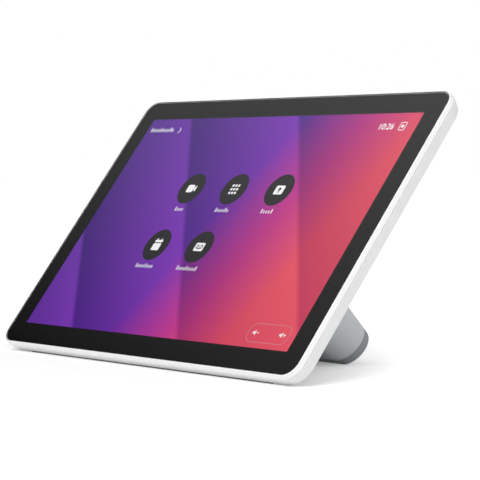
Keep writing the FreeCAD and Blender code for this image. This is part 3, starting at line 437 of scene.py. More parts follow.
def board_finish():
    """Circuit board: green mask over a maze of copper tracks."""
    finish = Finish("circuit_board", {"IOR": 1.5})
    tracks = finish.node("ShaderNodeTexBrick", {"offset": 0.37}, {
        "Vector": finish.place, "Scale": 240.0, "Color1": BLACK, "Color2": (0.25, 0.25, 0.25, 1.0),
        "Mortar": WHITE, "Mortar Size": 0.06})
    finish.feed(Base_Color=finish.mix(tracks, (0.01, 0.06, 0.025, 1.0), (0.03, 0.16, 0.06, 1.0)),
                Roughness=0.34 + 0.12 * finish.noise(scale=300.0))
    finish.bump(tracks, 0.02 * MM)


def porous(name, tint):
    """Closed cell foam, ferrite or filled silicone: matt, with small pores."""
    finish = Finish(name, {"IOR": 1.4})
    pores = finish.node("ShaderNodeTexVoronoi", sockets={"Vector": finish.place, "Scale": 2600.0})
    finish.coat(pores, tint, 0.6, 1.2, 0.75 + 0.2 * pores)
    finish.bump(pores, 0.04 * MM)


def ribbon_finish():
    """Amber film with printed conductors along it."""
    finish = Finish("ribbon_film", {"IOR": 1.6})
    across, _, _ = finish.parts(finish.place)
    stripe = finish.math("PINGPONG", across * 2000.0, 1.0)
    finish.feed(Base_Color=finish.mix(stripe, (0.32, 0.11, 0.02, 1.0), (0.5, 0.22, 0.06, 1.0)),
                Roughness=0.3 + 0.1 * stripe)


def make_finishes(tints, sizes):
    """One material for each of the record's slots, and three for what the display draws."""
    cover_glass_finish()
    border_finish(tints.border)
    wallpaper_finish(sizes)
    drawn_finish("touch_target", tints.target, sizes)
    drawn_finish("drawn_mark", tints.mark, sizes)
    drawn_finish("drawn_line", tints.line, sizes)
    moulded("white_plastic", tints.white, 0.42)
    moulded("light_grey_plastic", tints.foot, 0.5)
    moulded("mid_grey_plastic", tints.cap, 0.5)
    moulded("reflector_plastic", (0.86, 0.86, 0.86), 0.35)
    moulded("black_plastic", (0.018, 0.018, 0.02), 0.5)
    rubber("grey_rubber", tints.band)
    rubber("black_rubber", (0.06, 0.06, 0.062))
    porous("foam", (0.03, 0.03, 0.032))
    porous("thermal_silicone", (0.16, 0.2, 0.26))
    porous("ferrite", (0.045, 0.043, 0.042))
    metal("aluminium", (0.78, 0.79, 0.8), 0.38)
    metal("steel", (0.56, 0.57, 0.58), 0.32)
    metal("gold_plate", (0.83, 0.6, 0.24), 0.22)
    board_finish()
    ribbon_finish()


def finish_of(name):
    found = bpy.data.materials.get(f"{FINISH_PREFIX}{name}")
    if found is None:
        raise RuntimeError(f"make the finishes first: {name}")
    return found


Section = namedtuple("Section", "wide tall corner depth soft x y", defaults=(0.0, 0.0, 0.0))


def around(node, margin, corner, depth, soft=0.0):
    """A section round a CAD node's outline, with a margin."""
    return Section(wide(node) + 2 * margin, tall(node) + 2 * margin, corner, depth, soft)


def stadium(depth, radius, soft=0.0):
    """The foot's section: two half circles joined by straight lines."""
    return Section(2 * (HALF_SPAN + radius), 2 * radius, radius, depth, soft, 0.0, FOOT_Y)


def dot(radius, depth, x, y, soft=0.0):
    """A round section."""
    return Section(2 * radius, 2 * radius, radius, depth, soft, x, y)


def bevel(bm, geom, size, steps, affect="EDGES"):
    bmesh.ops.bevel(bm, geom=geom, offset=size, offset_type="OFFSET", segments=steps, profile=0.5,
                    affect=affect, material=-1, clamp_overlap=True)


def outline(bm, section, steps):
    """A face with round corners, or a round one, at a depth behind the glass front."""
    others = set(bm.faces)
    spot = Matrix.Translation((section.x, section.y, -section.depth))
    if 2 * section.corner == section.wide == section.tall:
        bmesh.ops.create_circle(bm, cap_ends=True, segments=4 * steps, radius=section.corner, matrix=spot)
    else:
        size = Matrix.Diagonal((section.wide, section.tall, 1.0, 1.0))
        made = bmesh.ops.create_grid(bm, x_segments=1, y_segments=1, size=0.5, matrix=spot @ size)
        if section.corner > 0:
            bevel(bm, made["verts"], section.corner, steps, "VERTICES")
    return next(face for face in bm.faces if face not in others)


def loft(sections, steps, ring=False, bm=None):
    """Adds a straight sided form through sections, closed to a ring or by a face at each end, to a bmesh."""
    bm = bm or bmesh.new()
    mark = bm.edges.layers.int.get("section") or bm.edges.layers.int.new("section")
    first = max((edge[mark] for edge in bm.edges), default=0) + 1
    count = len(sections)

    def marked(end):
        """The face of a section, with its number on its edges."""
        face = outline(bm, sections[end], steps)
        for edge in face.edges:
            edge[mark] = first + end
        return face

    for index in range(count if ring else count - 1):
        faces = [marked(index), marked((index + 1) % count)]
        edges = [edge for face in faces for edge in face.edges]
        bmesh.ops.delete(bm, geom=faces, context="FACES_ONLY")
        bmesh.ops.bridge_loops(bm, edges=edges)
    if not ring:
        marked(0)
        marked(count - 1)
    bmesh.ops.remove_doubles(bm, verts=bm.verts, dist=SAME_POINT)
    bmesh.ops.recalc_face_normals(bm, faces=bm.faces)
    for index, section in enumerate(sections):
        if section.soft:
            edges = [edge for edge in bm.edges if edge[mark] == first + index]
            bevel(bm, edges, section.soft, EDGE_STEPS)
    return bm


def block(low, high, bm=None):
    """Adds a box between two corners to a bmesh."""
    bm = bm or bmesh.new()
    low, high = Vector(low), Vector(high)
    bmesh.ops.create_cube(bm, size=1.0, matrix=Matrix.Translation((low + high) / 2)
                          @ Matrix.Diagonal((*(high - low), 1.0)))
    return bm


def drum(bm, radius, long, spot, sides):
    """A cylinder along Z, about a spot."""
    bmesh.ops.create_cone(bm, cap_ends=True, segments=sides, radius1=radius, radius2=radius, depth=long,
                          matrix=spot)


def bore(bm, radius, near, far, x, y, sides=HOLE_SIDES):
    """A cylinder square to the glass, between two depths."""
    drum(bm, radius, far - near, Matrix.Translation((x, y, -(near + far) / 2)), sides)


def solid(name, bm, spot=PANEL):
    """An object made from a bmesh that is drawn in a placed frame."""
    bm.transform(spot)
    mesh = bpy.data.meshes.new(name)
    bm.to_mesh(mesh)
    bm.free()
    made = bpy.data.objects.new(name, mesh)
    bpy.context.scene.collection.objects.link(made)
    return made


def settle(piece):
    """Applies a piece's modifiers."""
    graph = bpy.context.evaluated_depsgraph_get()
    old = piece.data
    piece.data = bpy.data.meshes.new_from_object(piece.evaluated_get(graph))
    piece.data.name = piece.name
    piece.modifiers.clear()
    bpy.data.meshes.remove(old)


def combine(piece, operation, bm, spot=PANEL):
    """Joins a drawn form to a piece, or cuts it out."""
    tool = solid("tool", bm, spot)
    change = piece.modifiers.new("combine", "BOOLEAN")
    change.operation = operation
    change.solver = "EXACT"
    change.object = tool
    settle(piece)
    bpy.data.meshes.remove(tool.data)


def level(piece, height):
    """Cuts a piece level at a height above the table, and closes the cut."""
    bm = bmesh.new()
    bm.from_mesh(piece.data)
    cut = bmesh.ops.bisect_plane(bm, geom=bm.verts[:] + bm.edges[:] + bm.faces[:], dist=SAME_POINT,
                                 plane_co=(0, 0, height), plane_no=(0, 0, -1), clear_outer=True)
    edges = [item for item in cut["geom_cut"] if isinstance(item, bmesh.types.BMEdge)]
    bmesh.ops.holes_fill(bm, edges=edges)
    bmesh.ops.recalc_face_normals(bm, faces=bm.faces)
    bm.to_mesh(piece.data)
    bm.free()


def clean(mesh):
    """Takes out the faces without an area that cuts and bevels leave."""
    bm = bmesh.new()
    bm.from_mesh(mesh)
    bmesh.ops.remove_doubles(bm, verts=bm.verts, dist=SLIVER)
    bmesh.ops.dissolve_degenerate(bm, edges=bm.edges, dist=SLIVER)
    bm.to_mesh(mesh)
    bm.free()


def dress(piece, slot, body="panel", nodes=(), finish=None):
    """Shades a piece, gives it its slot's finish or another, and sets it on its body."""
    clean(piece.data)
    piece.data.shade_smooth()
    piece.data.set_sharp_from_angle(angle=SHARP)
    weighted = piece.modifiers.new("weighted", "WEIGHTED_NORMAL")
    weighted.keep_sharp = True
    settle(piece)
    piece.data.materials.clear()
    piece.data.materials.append(finish_of(finish or slot))
    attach(piece, body)
    if nodes:
        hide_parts(*nodes)


class PHONE_OT_finishes(bpy.types.Operator):
    """Makes the finishes and puts them on the solids that stay in sight or inside"""

    bl_idname = "desk_phone.finishes"
    bl_label = "Finishes"

    def execute(self, context):
        make_finishes(context.scene.phone_colours, context.scene.phone_screen)
        for node, shown in frame["nodes"].items():
            shown.data.materials.clear()
            shown.data.materials.append(finish_of(SLOTS[node]))
        return {"FINISHED"}


# Wall of the rim's skirt, and the room between it and the mid plate and round the backlight tray.
SKIRT_WALL, SKIRT_GAP, TRAY_GAP = 1.4 * MM, 0.3 * MM, 0.8 * MM


class PHONE_OT_front_frame(bpy.types.Operator):
    """Rim with a bevelled front edge, a ledge for the glass and a skirt inside the housing"""

    bl_idname = "desk_phone.front_frame"
    bl_label = "Front frame"

    def execute(self, context):
        sizes = context.scene.phone_panel
        node, glass, tray = "front_frame", "cover_glass", "backlight_tray"
        near, far = front(node), back(node)
        ledge_near, ledge_far = back("glass_gasket"), back(tray)
        corner, land = sizes.glass_corner + sizes.glass_gap, sizes.rim_land
        inner = (wide(node) - wide("mid_plate")) / 2 - SKIRT_GAP
        skirt = inner - SKIRT_WALL
        bm = loft([
            around(glass, sizes.glass_gap + land, corner + land, near, sizes.rim_soft),
            around(node, 0.0, sizes.rim_corner, sizes.rim_deep, sizes.rim_soft),
            around(node, -skirt, sizes.rim_corner - skirt, sizes.rim_deep),
            around(node, -skirt, sizes.rim_corner - skirt, far),
            around(node, -inner, sizes.rim_corner - inner, far),
            around(node, -inner, sizes.rim_corner - inner, ledge_far),
            around(tray, TRAY_GAP, TRAY_GAP, ledge_far),
            around(tray, TRAY_GAP, TRAY_GAP, ledge_near),
            around(glass, sizes.glass_gap, corner, ledge_near),
            around(glass, sizes.glass_gap, corner, near)], PANEL_STEPS, ring=True)
        dress(solid("rim_frame", bm), "white_plastic", nodes=[node])
        return {"FINISHED"}


# Screws in the back: head, shank, hex socket, the seat round the head and the boss behind it.
HEAD, HEAD_TALL, HEAD_SOFT, SHANK = 2.5 * MM, 1.6 * MM, 0.5 * MM, 1.25 * MM
SOCKET, SOCKET_DEEP = 1.2 * MM, 0.9 * MM
SEAT, SEAT_DEEP = 2.8 * MM, 2.0 * MM
BOSS, BOSS_DEEP, BOSS_BED = 4.3 * MM, 4.0 * MM, 0.4 * MM
# The solids' heads have eight sides, so their box is that much smaller than a round head's.
FLAT_SHARE = math.cos(math.pi / 8)
# Corners of the back's flat outside and inside, rounding of the front edge, and lift off the table.
FLAT_CORNER, INNER_CORNER, WALL_SOFT, LIFT = 6 * MM, 4 * MM, 0.12 * MM, 0.45 * MM
# Reset button's hole, sound slots on each side of the middle one, and holes to the microphones.
RESET_HOLE, CUT_DEEP = 2.3 * MM, 4.0 * MM
SLOT_WIDE, SLOT_TALL, SLOT_CORNER, SLOT_PITCH = 1.6 * MM, 8.0 * MM, 0.78 * MM, 4.4 * MM
SIDE_SLOTS = 4
INLET, INLET_DEEP, INLET_INSET = 0.5 * MM, 6.0 * MM, 4.0 * MM


def screw_places():
    """Places of the screws in the back."""
    x, y = (BOXES["housing_screws"][1][axis] - HEAD * FLAT_SHARE for axis in (0, 1))
    return [(side * x, rise * y) for side in (-1, 1) for rise in (-1, 1)]


class PHONE_OT_rear_housing(bpy.types.Operator):
    """Shell with leaning walls and a sloping back, with its slots, holes and screw seats"""

    bl_idname = "desk_phone.rear_housing"
    bl_label = "Rear housing"

    def execute(self, context):
        sizes = context.scene.phone_panel
        node = "rear_housing"
        near, far, wall = front(node), back(node), sizes.wall
        inset = sizes.wall_lean + sizes.back_inset
        bm = loft([
            around(node, -inset, INNER_CORNER, far - wall),
            around(node, -wall, sizes.edge_corner, sizes.edge_deep - wall),
            around(node, -wall, sizes.rim_corner - wall, near),
            around(node, 0.0, sizes.rim_corner, near, WALL_SOFT),
            around(node, -sizes.wall_lean, sizes.edge_corner, sizes.edge_deep, sizes.edge_soft),
            around(node, -inset, FLAT_CORNER, far, sizes.back_soft)], HOUSING_STEPS)
        piece = solid("housing_shell", bm)
        bosses = bmesh.new()
        for x, y in screw_places():
            bore(bosses, BOSS, far - BOSS_DEEP, far - BOSS_BED, x, y)
        combine(piece, "UNION", bosses)
        combine(piece, "DIFFERENCE", self.back_cuts(far))
        combine(piece, "DIFFERENCE", self.inlets(tall(node) / 2))
        level(piece, LIFT)
        low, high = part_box("panel_foot")
        groove = block((low.x, low.y, low.z - REACH), high)
        combine(piece, "DIFFERENCE", groove, Matrix.Identity(4))
        dress(piece, "white_plastic", nodes=[node])
        return {"FINISHED"}

    def back_cuts(self, far):
        """Screw seats, the reset button's hole and the sound slots."""
        bm = bmesh.new()
        for x, y in screw_places():
            bore(bm, SEAT, far - SEAT_DEEP, far + REACH, x, y)
        reset = middle("reset_button")
        bore(bm, RESET_HOLE, far - CUT_DEEP, far + REACH, reset.x, reset.y)
        y = middle("loudspeaker").y
        for step in range(-SIDE_SLOTS, SIDE_SLOTS + 1):
            loft([Section(SLOT_WIDE, SLOT_TALL, SLOT_CORNER, depth, 0.0, step * SLOT_PITCH, y)
                  for depth in (far - CUT_DEEP, far + REACH)], SMALL_STEPS, bm=bm)
        return bm

    def inlets(self, top):
        """Holes for the microphones, down from the top edge."""
        bm = bmesh.new()
        for side in (-1, 1):
            x = side * (BOXES["microphones"][1].x - INLET_INSET)
            spot = Matrix.Translation((x, top, middle("microphones").z))
            drum(bm, INLET, 2 * INLET_DEEP, spot @ Matrix.Rotation(math.pi / 2, 4, "X"), INLET_SIDES)
        return bm


class PHONE_OT_screws(bpy.types.Operator):
    """Pan head screws with a hex socket in the housing's back"""

    bl_idname = "desk_phone.screws"
    bl_label = "Screws"

    def execute(self, context):
        near, far = front("housing_screws"), back("housing_screws")
        under = far - HEAD_TALL
        bm = bmesh.new()
        sockets = bmesh.new()
        for x, y in screw_places():
            loft([dot(SHANK, near, x, y), dot(SHANK, under, x, y), dot(HEAD, under, x, y),
                  dot(HEAD, far, x, y, HEAD_SOFT)], SCREW_STEPS, bm=bm)
            bore(sockets, SOCKET, far - SOCKET_DEEP, far + REACH, x, y, SOCKET_SIDES)
        piece = solid("housing_screw_heads", bm)
        combine(piece, "DIFFERENCE", sockets)
        dress(piece, "steel", nodes=["housing_screws"])
        return {"FINISHED"}


# Rounding of the glass's back edge, and corner of the display cell.
GLASS_BACK_SOFT, CELL_CORNER = 0.072 * MM, 2.0 * MM
# The print and the display stand a little inside the back of the glass, the display behind the print.
BOND, LIT_GAP = back("cover_glass") - 0.05 * MM, 0.01 * MM
# How much larger the window in the print is than the lit area, and how thick a drawn layer is.
MARGIN, LAYER = 0.8 * MM, 0.012 * MM


class PHONE_OT_glass_and_screen(bpy.types.Operator):
    """Glass, the black print round the lit area, and the display bonded behind it"""

    bl_idname = "desk_phone.glass_and_screen"
    bl_label = "Glass and screen"

    def execute(self, context):
        screen = context.scene.phone_screen
        corner = context.scene.phone_panel.glass_corner

        def window(margin, depth):
            """The lit area with a margin."""
            return Section(screen.lit_wide + margin, screen.lit_tall + margin, margin, depth)

        bm = loft([around("cover_glass", 0.0, corner, 0.0, context.scene.phone_panel.glass_soft),
                   around("cover_glass", 0.0, corner, back("cover_glass"), GLASS_BACK_SOFT)], PANEL_STEPS)
        dress(solid("front_glass", bm), "cover_glass", nodes=["cover_glass"])

        corner -= (wide("cover_glass") - wide("border_film")) / 2
        far = back("border_film")
        bm = loft([around("border_film", 0.0, corner, BOND), around("border_film", 0.0, corner, far),
                   window(MARGIN, far), window(MARGIN, BOND)], PANEL_STEPS, ring=True)
        dress(solid("printed_border", bm), "black_print", nodes=["border_film"])

        near, far = front("display_cell"), back("display_cell")
        bm = loft([window(MARGIN / 2, BOND + LIT_GAP), window(MARGIN / 2, near),
                   around("display_cell", 0.0, CELL_CORNER, near),
                   around("display_cell", 0.0, CELL_CORNER, far)], PANEL_STEPS)
        dress(solid("lit_screen", bm), "lit_display", nodes=["display_cell"])
        return {"FINISHED"}


class Pen:
    """Draws thin closed shapes behind the glass, in millimetres about a place that it is moved to."""

    # Largest corner of a bar, as a share of its shorter side, and how bold the digits are for their size.
    ROUNDEST, BOLD = 1 / 2.02, 0.012
    # Sides of a dot and of a touch target.
    DOT_SIDES, TARGET_SIDES = 20, 64

    def __init__(self, depth):
        self.bm = bmesh.new()
        self.depth = depth
        self.move(0.0, 0.0)

    def move(self, x, y):
        self.x = x
        self.y = y

    def at(self, x, y):
        return (self.x + x) * MM, (self.y + y) * MM, -self.depth

    def thicken(self, verts):
        """Thickens a flat shape that was just drawn, away from the glass front."""
        faces = {face for vertex in verts if vertex.is_valid for face in vertex.link_faces}
        made = bmesh.ops.extrude_face_region(self.bm, geom=list(faces))
        bmesh.ops.translate(self.bm, vec=(0, 0, -LAYER),
                            verts=[item for item in made["geom"] if isinstance(item, bmesh.types.BMVert)])

    def disc(self, x, y, radius, sides=DOT_SIDES):
        made = bmesh.ops.create_circle(self.bm, cap_ends=True, segments=sides, radius=radius * MM,
                                       matrix=Matrix.Translation(self.at(x, y)))
        self.thicken(made["verts"])

    def bar(self, x, y, across, up, corner, turn=0.0):
        """A rounded rectangle, turned about its middle."""
        corner = min(corner, min(across, up) * self.ROUNDEST)
        verts = list(outline(self.bm, Section(across * MM, up * MM, corner * MM, 0.0), SMALL_STEPS).verts)
        turned = Matrix.Translation(self.at(x, y)) @ Matrix.Rotation(turn, 4, "Z")
        bmesh.ops.transform(self.bm, matrix=turned, verts=verts)
        self.thicken(verts)

    def frame(self, x, y, across, up, corner, stroke):
        """A rounded rectangle drawn as a line."""
        loops = []
        verts = []
        left, low, _ = self.at(x, y)
        for inset in (0.0, stroke):
            section = Section((across - 2 * inset) * MM, (up - 2 * inset) * MM, (corner - inset) * MM,
                              self.depth, 0.0, left, low)
            face = outline(self.bm, section, LINE_STEPS)
            loops += face.edges
            verts += face.verts
            bmesh.ops.delete(self.bm, geom=[face], context="FACES_ONLY")
        bmesh.ops.bridge_loops(self.bm, edges=loops)
        self.thicken(verts)

    def ring(self, x, y, radius, stroke):
        self.frame(x, y, 2 * radius, 2 * radius, radius, stroke)

    def polygon(self, *points):
        verts = [self.bm.verts.new(self.at(x, y)) for x, y in points]
        self.bm.faces.new(verts)
        self.thicken(verts)

    def digits(self, words, size):
        """Bold digits about the place."""
        curve = bpy.data.curves.new("digits", "FONT")
        curve.body = words
        curve.size = size * MM
        curve.offset = self.BOLD * curve.size
        curve.align_x = "CENTER"
        curve.align_y = "CENTER"
        holder = bpy.data.objects.new("digits", curve)
        bpy.context.scene.collection.objects.link(holder)
        bpy.context.view_layer.update()
        graph = bpy.context.evaluated_depsgraph_get()
        mesh = bpy.data.meshes.new_from_object(holder.evaluated_get(graph))
        bpy.data.curves.remove(curve)
        others = set(self.bm.verts)
        self.bm.from_mesh(mesh)
        verts = [vertex for vertex in self.bm.verts if vertex not in others]
        bmesh.ops.translate(self.bm, vec=self.at(0, 0), verts=verts)
        self.thicken(verts)

    def lift(self, name, finish):
        """Makes the drawing a piece."""
        bmesh.ops.recalc_face_normals(self.bm, faces=self.bm.faces)
        dress(solid(name, self.bm), "lit_display", finish=finish)


class Signs:
    """Plain pictograms in millimetres, with a light pen, and a dark one for what is left out of them."""

    def __init__(self, light, dark, stroke):
        self.light = light
        self.dark = dark
        self.stroke = stroke

    def at(self, x, y):
        self.light.move(x, y)
        self.dark.move(x, y)
        return self

    def camera(self):
        """A video camera: a body and a lens hood."""
        self.light.bar(-0.9, 0, 5.4, 4.8, 1.0)
        self.light.polygon((2.1, -0.8), (3.8, -2.0), (3.8, 2.0), (2.1, 0.8))

    def keypad(self):
        """A dial pad of nine dots."""
        for row in (-1, 0, 1):
            for column in (-1, 0, 1):
                self.light.disc(2.3 * column, 2.3 * row, 0.82)

    def share(self):
        """A page with an arrow up on it."""
        self.light.bar(0, 0, 6.8, 5.4, 0.9)
        self.dark.bar(0, -0.7, 1.5 * self.stroke, 2.0, 0.1)
        self.dark.polygon((-1.5, 0.1), (1.5, 0.1), (0, 1.7))

    def calendar(self):
        """A page with a header and two rings."""
        self.light.bar(0, -1.2, 6.4, 4.4, 0.7)
        self.light.bar(0, 2.3, 6.4, 1.5, 0.5)
        for side in (-1, 1):
            self.light.bar(1.8 * side, 3.5, 0.8, 1.0, 0.3)

    def tape(self):
        """A card with two reels joined by a stretch of tape."""
        self.light.bar(0, 0, 7.4, 5.0, 0.9)
        for side in (-1, 1):
            self.dark.ring(1.6 * side, 0.2, 1.2, 0.9 * self.stroke)
        self.dark.bar(0, -0.9, 3.2, 0.9 * self.stroke, 0.1)

    def page(self):
        """A framed page with a square on it."""
        self.light.frame(0, 0, 4.4, 5.0, 0.9, 0.4)
        self.light.bar(0, 0, 1.7, 1.7, 0.3)

    def arrow(self):
        """Two strokes that meet at the right."""
        for side in (-1, 1):
            self.light.bar(0, 0.85 * side, 2.7, 0.45, 0.2, -0.9 * side)

    def quieter(self):
        """A loudspeaker with a minus beside it."""
        self.light.bar(-1.3, 0, 0.9, 1.2, 0.15)
        self.light.polygon((-0.7, -0.6), (0.4, -1.5), (0.4, 1.5), (-0.7, 0.6))
        self.light.bar(1.9, 0, 1.7, 0.4, 0.15)

    def louder(self):
        """A loudspeaker with a plus beside it."""
        self.quieter()
        for side in (-1, 1):
            self.light.bar(1.9, 0.55 * side, 0.4, 0.7, 0.15)

    def word(self, letters, pitch):
        """A row of short strokes that stands for a word."""
        for index in range(letters):
            rise = pitch * (1.4 if index % 4 == 0 else 0.95)
            self.light.bar((index - (letters - 1) / 2) * pitch, rise / 2 - 0.9, 0.4 * pitch, rise, 0.25)


# Each touch target's pictogram, column, row and the number of strokes in its label.
TARGETS = ((Signs.camera, 0, 1, 4), (Signs.keypad, 1, 1, 6), (Signs.share, 2, 1, 5),
           (Signs.calendar, 0, 0, 8), (Signs.tape, 1, 0, 9))
# Places and sizes on the screen, in millimetres from the middle of the glass.
FIRST_TARGET = (-35.9, -14.4)
LABEL_DROP, LABEL_PITCH = 13.4, 1.9
TITLE, TITLE_STROKES, TITLE_PITCH = (-94.3, 60.0), 10, 2.15
ARROW, PAGE = (-78.0, 60.0), (98.6, 59.8)
CLOCK, CLOCK_SIZE = (87.0, 59.6), 5.0
STRIP, STRIP_WIDE, STRIP_TALL, STRIP_CORNER, STRIP_LINE = (89.2, -59.7), 29.6, 10.4, 4.2, 0.3
QUIETER, LOUDER = (79.4, -59.7), (98.6, -59.7)


class PHONE_OT_screen_drawing(bpy.types.Operator):
    """Round touch targets with plain pictograms, label strokes, a clock and a volume strip"""

    bl_idname = "desk_phone.screen_drawing"
    bl_label = "Screen drawing"

    def execute(self, context):
        sizes = context.scene.phone_screen
        discs, strip, marks, cuts = (Pen(BOND - layer * LAYER) for layer in (1, 1, 2, 3))
        signs = Signs(marks, cuts, sizes.stroke / MM)
        pitch = sizes.pitch / MM
        left, low = FIRST_TARGET
        for draw, column, row, letters in TARGETS:
            x, y = left + column * pitch, low + row * pitch
            discs.disc(x, y, sizes.target / MM / 2, Pen.TARGET_SIDES)
            draw(signs.at(x, y))
            signs.at(x, y - LABEL_DROP).word(letters, LABEL_PITCH)
        signs.at(*TITLE).word(TITLE_STROKES, TITLE_PITCH)
        signs.at(*ARROW).arrow()
        signs.at(*CLOCK).light.digits("10:26", CLOCK_SIZE)
        signs.at(*PAGE).page()
        signs.at(*QUIETER).quieter()
        signs.at(*LOUDER).louder()
        strip.frame(*STRIP, STRIP_WIDE, STRIP_TALL, STRIP_CORNER, STRIP_LINE)
        discs.lift("touch_targets", "touch_target")
        marks.lift("target_pictograms", "drawn_mark")
        cuts.lift("pictogram_cuts", "touch_target")
        strip.lift("volume_strip", "drawn_line")
        return {"FINISHED"}


# Rounding at the foot's seam with its band, and the ribs that carry the power board.
SEAM_SOFT = 0.18 * MM
CARRIER_WIDE, CARRIER_INSET = 7.0 * MM, 4.0 * MM


class PHONE_OT_foot_shell(bpy.types.Operator):
    """Tapered tube with a floor, a recess for the lid and the bay under it"""

    bl_idname = "desk_phone.foot_shell"
    bl_label = "Foot shell"

    def execute(self, context):
        sizes = context.scene.phone_foot
        floor = ROOT_DEPTH + sizes.floor
        bm = loft([stadium(floor, foot_radius(floor) - sizes.wall),
                   stadium(SEAM_DEPTH, foot_radius(SEAM_DEPTH) - sizes.wall),
                   stadium(SEAM_DEPTH, foot_radius(SEAM_DEPTH), SEAM_SOFT),
                   stadium(ROOT_DEPTH, ROOT_RADIUS)], FOOT_STEPS)
        piece = solid("foot_shell", bm)
        ribs = bmesh.new()
        half_wide, half_tall = CARRIER_WIDE / 2, tall("power_board") / 2
        for side in (-1, 1):
            x = side * (wide("power_board") / 2 - CARRIER_INSET)
            block((x - half_wide, FOOT_Y - half_tall, -front("power_board")),
                  (x + half_wide, FOOT_Y + half_tall, OVERLAP - floor), ribs)
        combine(piece, "UNION", ribs)
        for margin, deep in ((sizes.lid_gap, sizes.lid_thick), (-sizes.lid_ledge, 2 * sizes.wall)):
            cut = block((LID_LOW.x - margin, LID_LOW.y - 2 * REACH, -REACH),
                        (LID_HIGH.x + margin, LID_HIGH.y + margin, deep))
            combine(piece, "DIFFERENCE", cut, WALL)
        dress(piece, "light_grey_plastic", nodes=["stand_shell"])
        return {"FINISHED"}


# Rounding of the lid's outer edges, and corner of its nail slot.
LID_SOFT, NAIL_CORNER = 0.2 * MM, 1.0 * MM


class PHONE_OT_cable_lid(bpy.types.Operator):
    """Lid over the cable bay, with soft edges, a nail slot and guide ribs"""

    bl_idname = "desk_phone.cable_lid"
    bl_label = "Cable lid"

    def execute(self, context):
        sizes = context.scene.phone_foot
        bm = block(LID_LOW, (LID_HIGH.x, LID_HIGH.y, LID_LOW.z + sizes.lid_thick))
        outer = [edge for edge in bm.edges if all(vertex.co.z < LID_LOW.z + SLIVER for vertex in edge.verts)]
        bevel(bm, outer, LID_SOFT, LID_EDGE_STEPS)
        piece = solid("cable_lid", bm, WALL)
        ribs = bmesh.new()
        inner = LID_HIGH.x - sizes.lid_ledge - sizes.lid_gap
        start = LID_HIGH.y - sizes.lid_ledge - sizes.lid_gap
        for left in (-inner, inner - sizes.rib_thick):
            block((left, start - sizes.rib_long, sizes.lid_thick - OVERLAP),
                  (left + sizes.rib_thick, start, LID_HIGH.z), ribs)
        combine(piece, "UNION", ribs, WALL)
        nail = loft([Section(sizes.nail_wide, 2 * sizes.nail_deep, NAIL_CORNER, depth, 0.0, 0.0, LID_HIGH.y)
                     for depth in (-REACH, REACH)], SMALL_STEPS)
        combine(piece, "DIFFERENCE", nail, WALL)
        dress(piece, "light_grey_plastic", "cable_cover", ["cable_cover"])
        return {"FINISHED"}


# Length of the rubber band and rounding of its hole's end, and the cap's room, wall and rounding.
BAND_LONG, BAND_HOLE_SOFT = 4.75 * MM, 0.2 * MM
CAP_GAP, CAP_WALL, CAP_SOFT = 0.05 * MM, 1.6 * MM, 0.25 * MM


class PHONE_OT_foot_end(bpy.types.Operator):
    """Rubber band that stands on the table, and the plate that closes the foot"""

    bl_idname = "desk_phone.foot_end"
    bl_label = "Foot end"

    def execute(self, context):
        sizes = context.scene.phone_foot
        end = BAND_DEPTH + BAND_LONG
        hole = foot_radius(end) - sizes.band_wall
        bm = loft([stadium(BAND_DEPTH, foot_radius(BAND_DEPTH), SEAM_SOFT),
                   stadium(end, foot_radius(end), sizes.band_soft),
                   stadium(end, hole, BAND_HOLE_SOFT),
                   stadium(BAND_DEPTH, hole)], FOOT_STEPS, ring=True)
        band = solid("foot_band", bm)
        combine(band, "DIFFERENCE", self.notch(sizes, end))
        level(band, 0.0)
        dress(band, "grey_rubber", nodes=["cap_boot"])

        near, far = front("end_cap"), back("end_cap")
        spigot = BOXES["end_cap"][1].x - HALF_SPAN - CAP_GAP
        plate = hole - CAP_GAP
        bm = loft([stadium(BAND_DEPTH, spigot - CAP_WALL), stadium(near, spigot - CAP_WALL),
                   stadium(near, spigot), stadium(BAND_DEPTH, spigot),
                   stadium(BAND_DEPTH, plate), stadium(far, plate, CAP_SOFT)], FOOT_STEPS)
        cap = solid("foot_cap", bm)
        combine(cap, "DIFFERENCE", self.notch(sizes, end))
        dress(cap, "mid_grey_plastic", nodes=["end_cap"])
        return {"FINISHED"}

    def notch(self, sizes, end):
        """The cable's way out, in the middle of the upper edge."""
        half = sizes.notch_wide / 2
        return block((-half, FOOT_Y + foot_radius(end) - sizes.notch_deep, -end - REACH),
                     (half, FOOT_Y + ROOT_RADIUS, REACH - front("end_cap")))


# Stage, in metres: the lamp's width and target, the floor's width, and the card and how its light grows.
KEY_WIDE, KEY_TARGET = 1.4, Vector((0.0, 0.0, 0.05))
FLOOR_WIDE = 16.0
CARD_PLACE, CARD_TALL, CARD_WIDE = (-1.0, -0.2, 1.0), 2.0, 3.0
CARD_SLOPE, CARD_START = (0.0, 0.742, 0.906), 0.225
# Width of the camera's film in millimetres.
FILM = 36.0


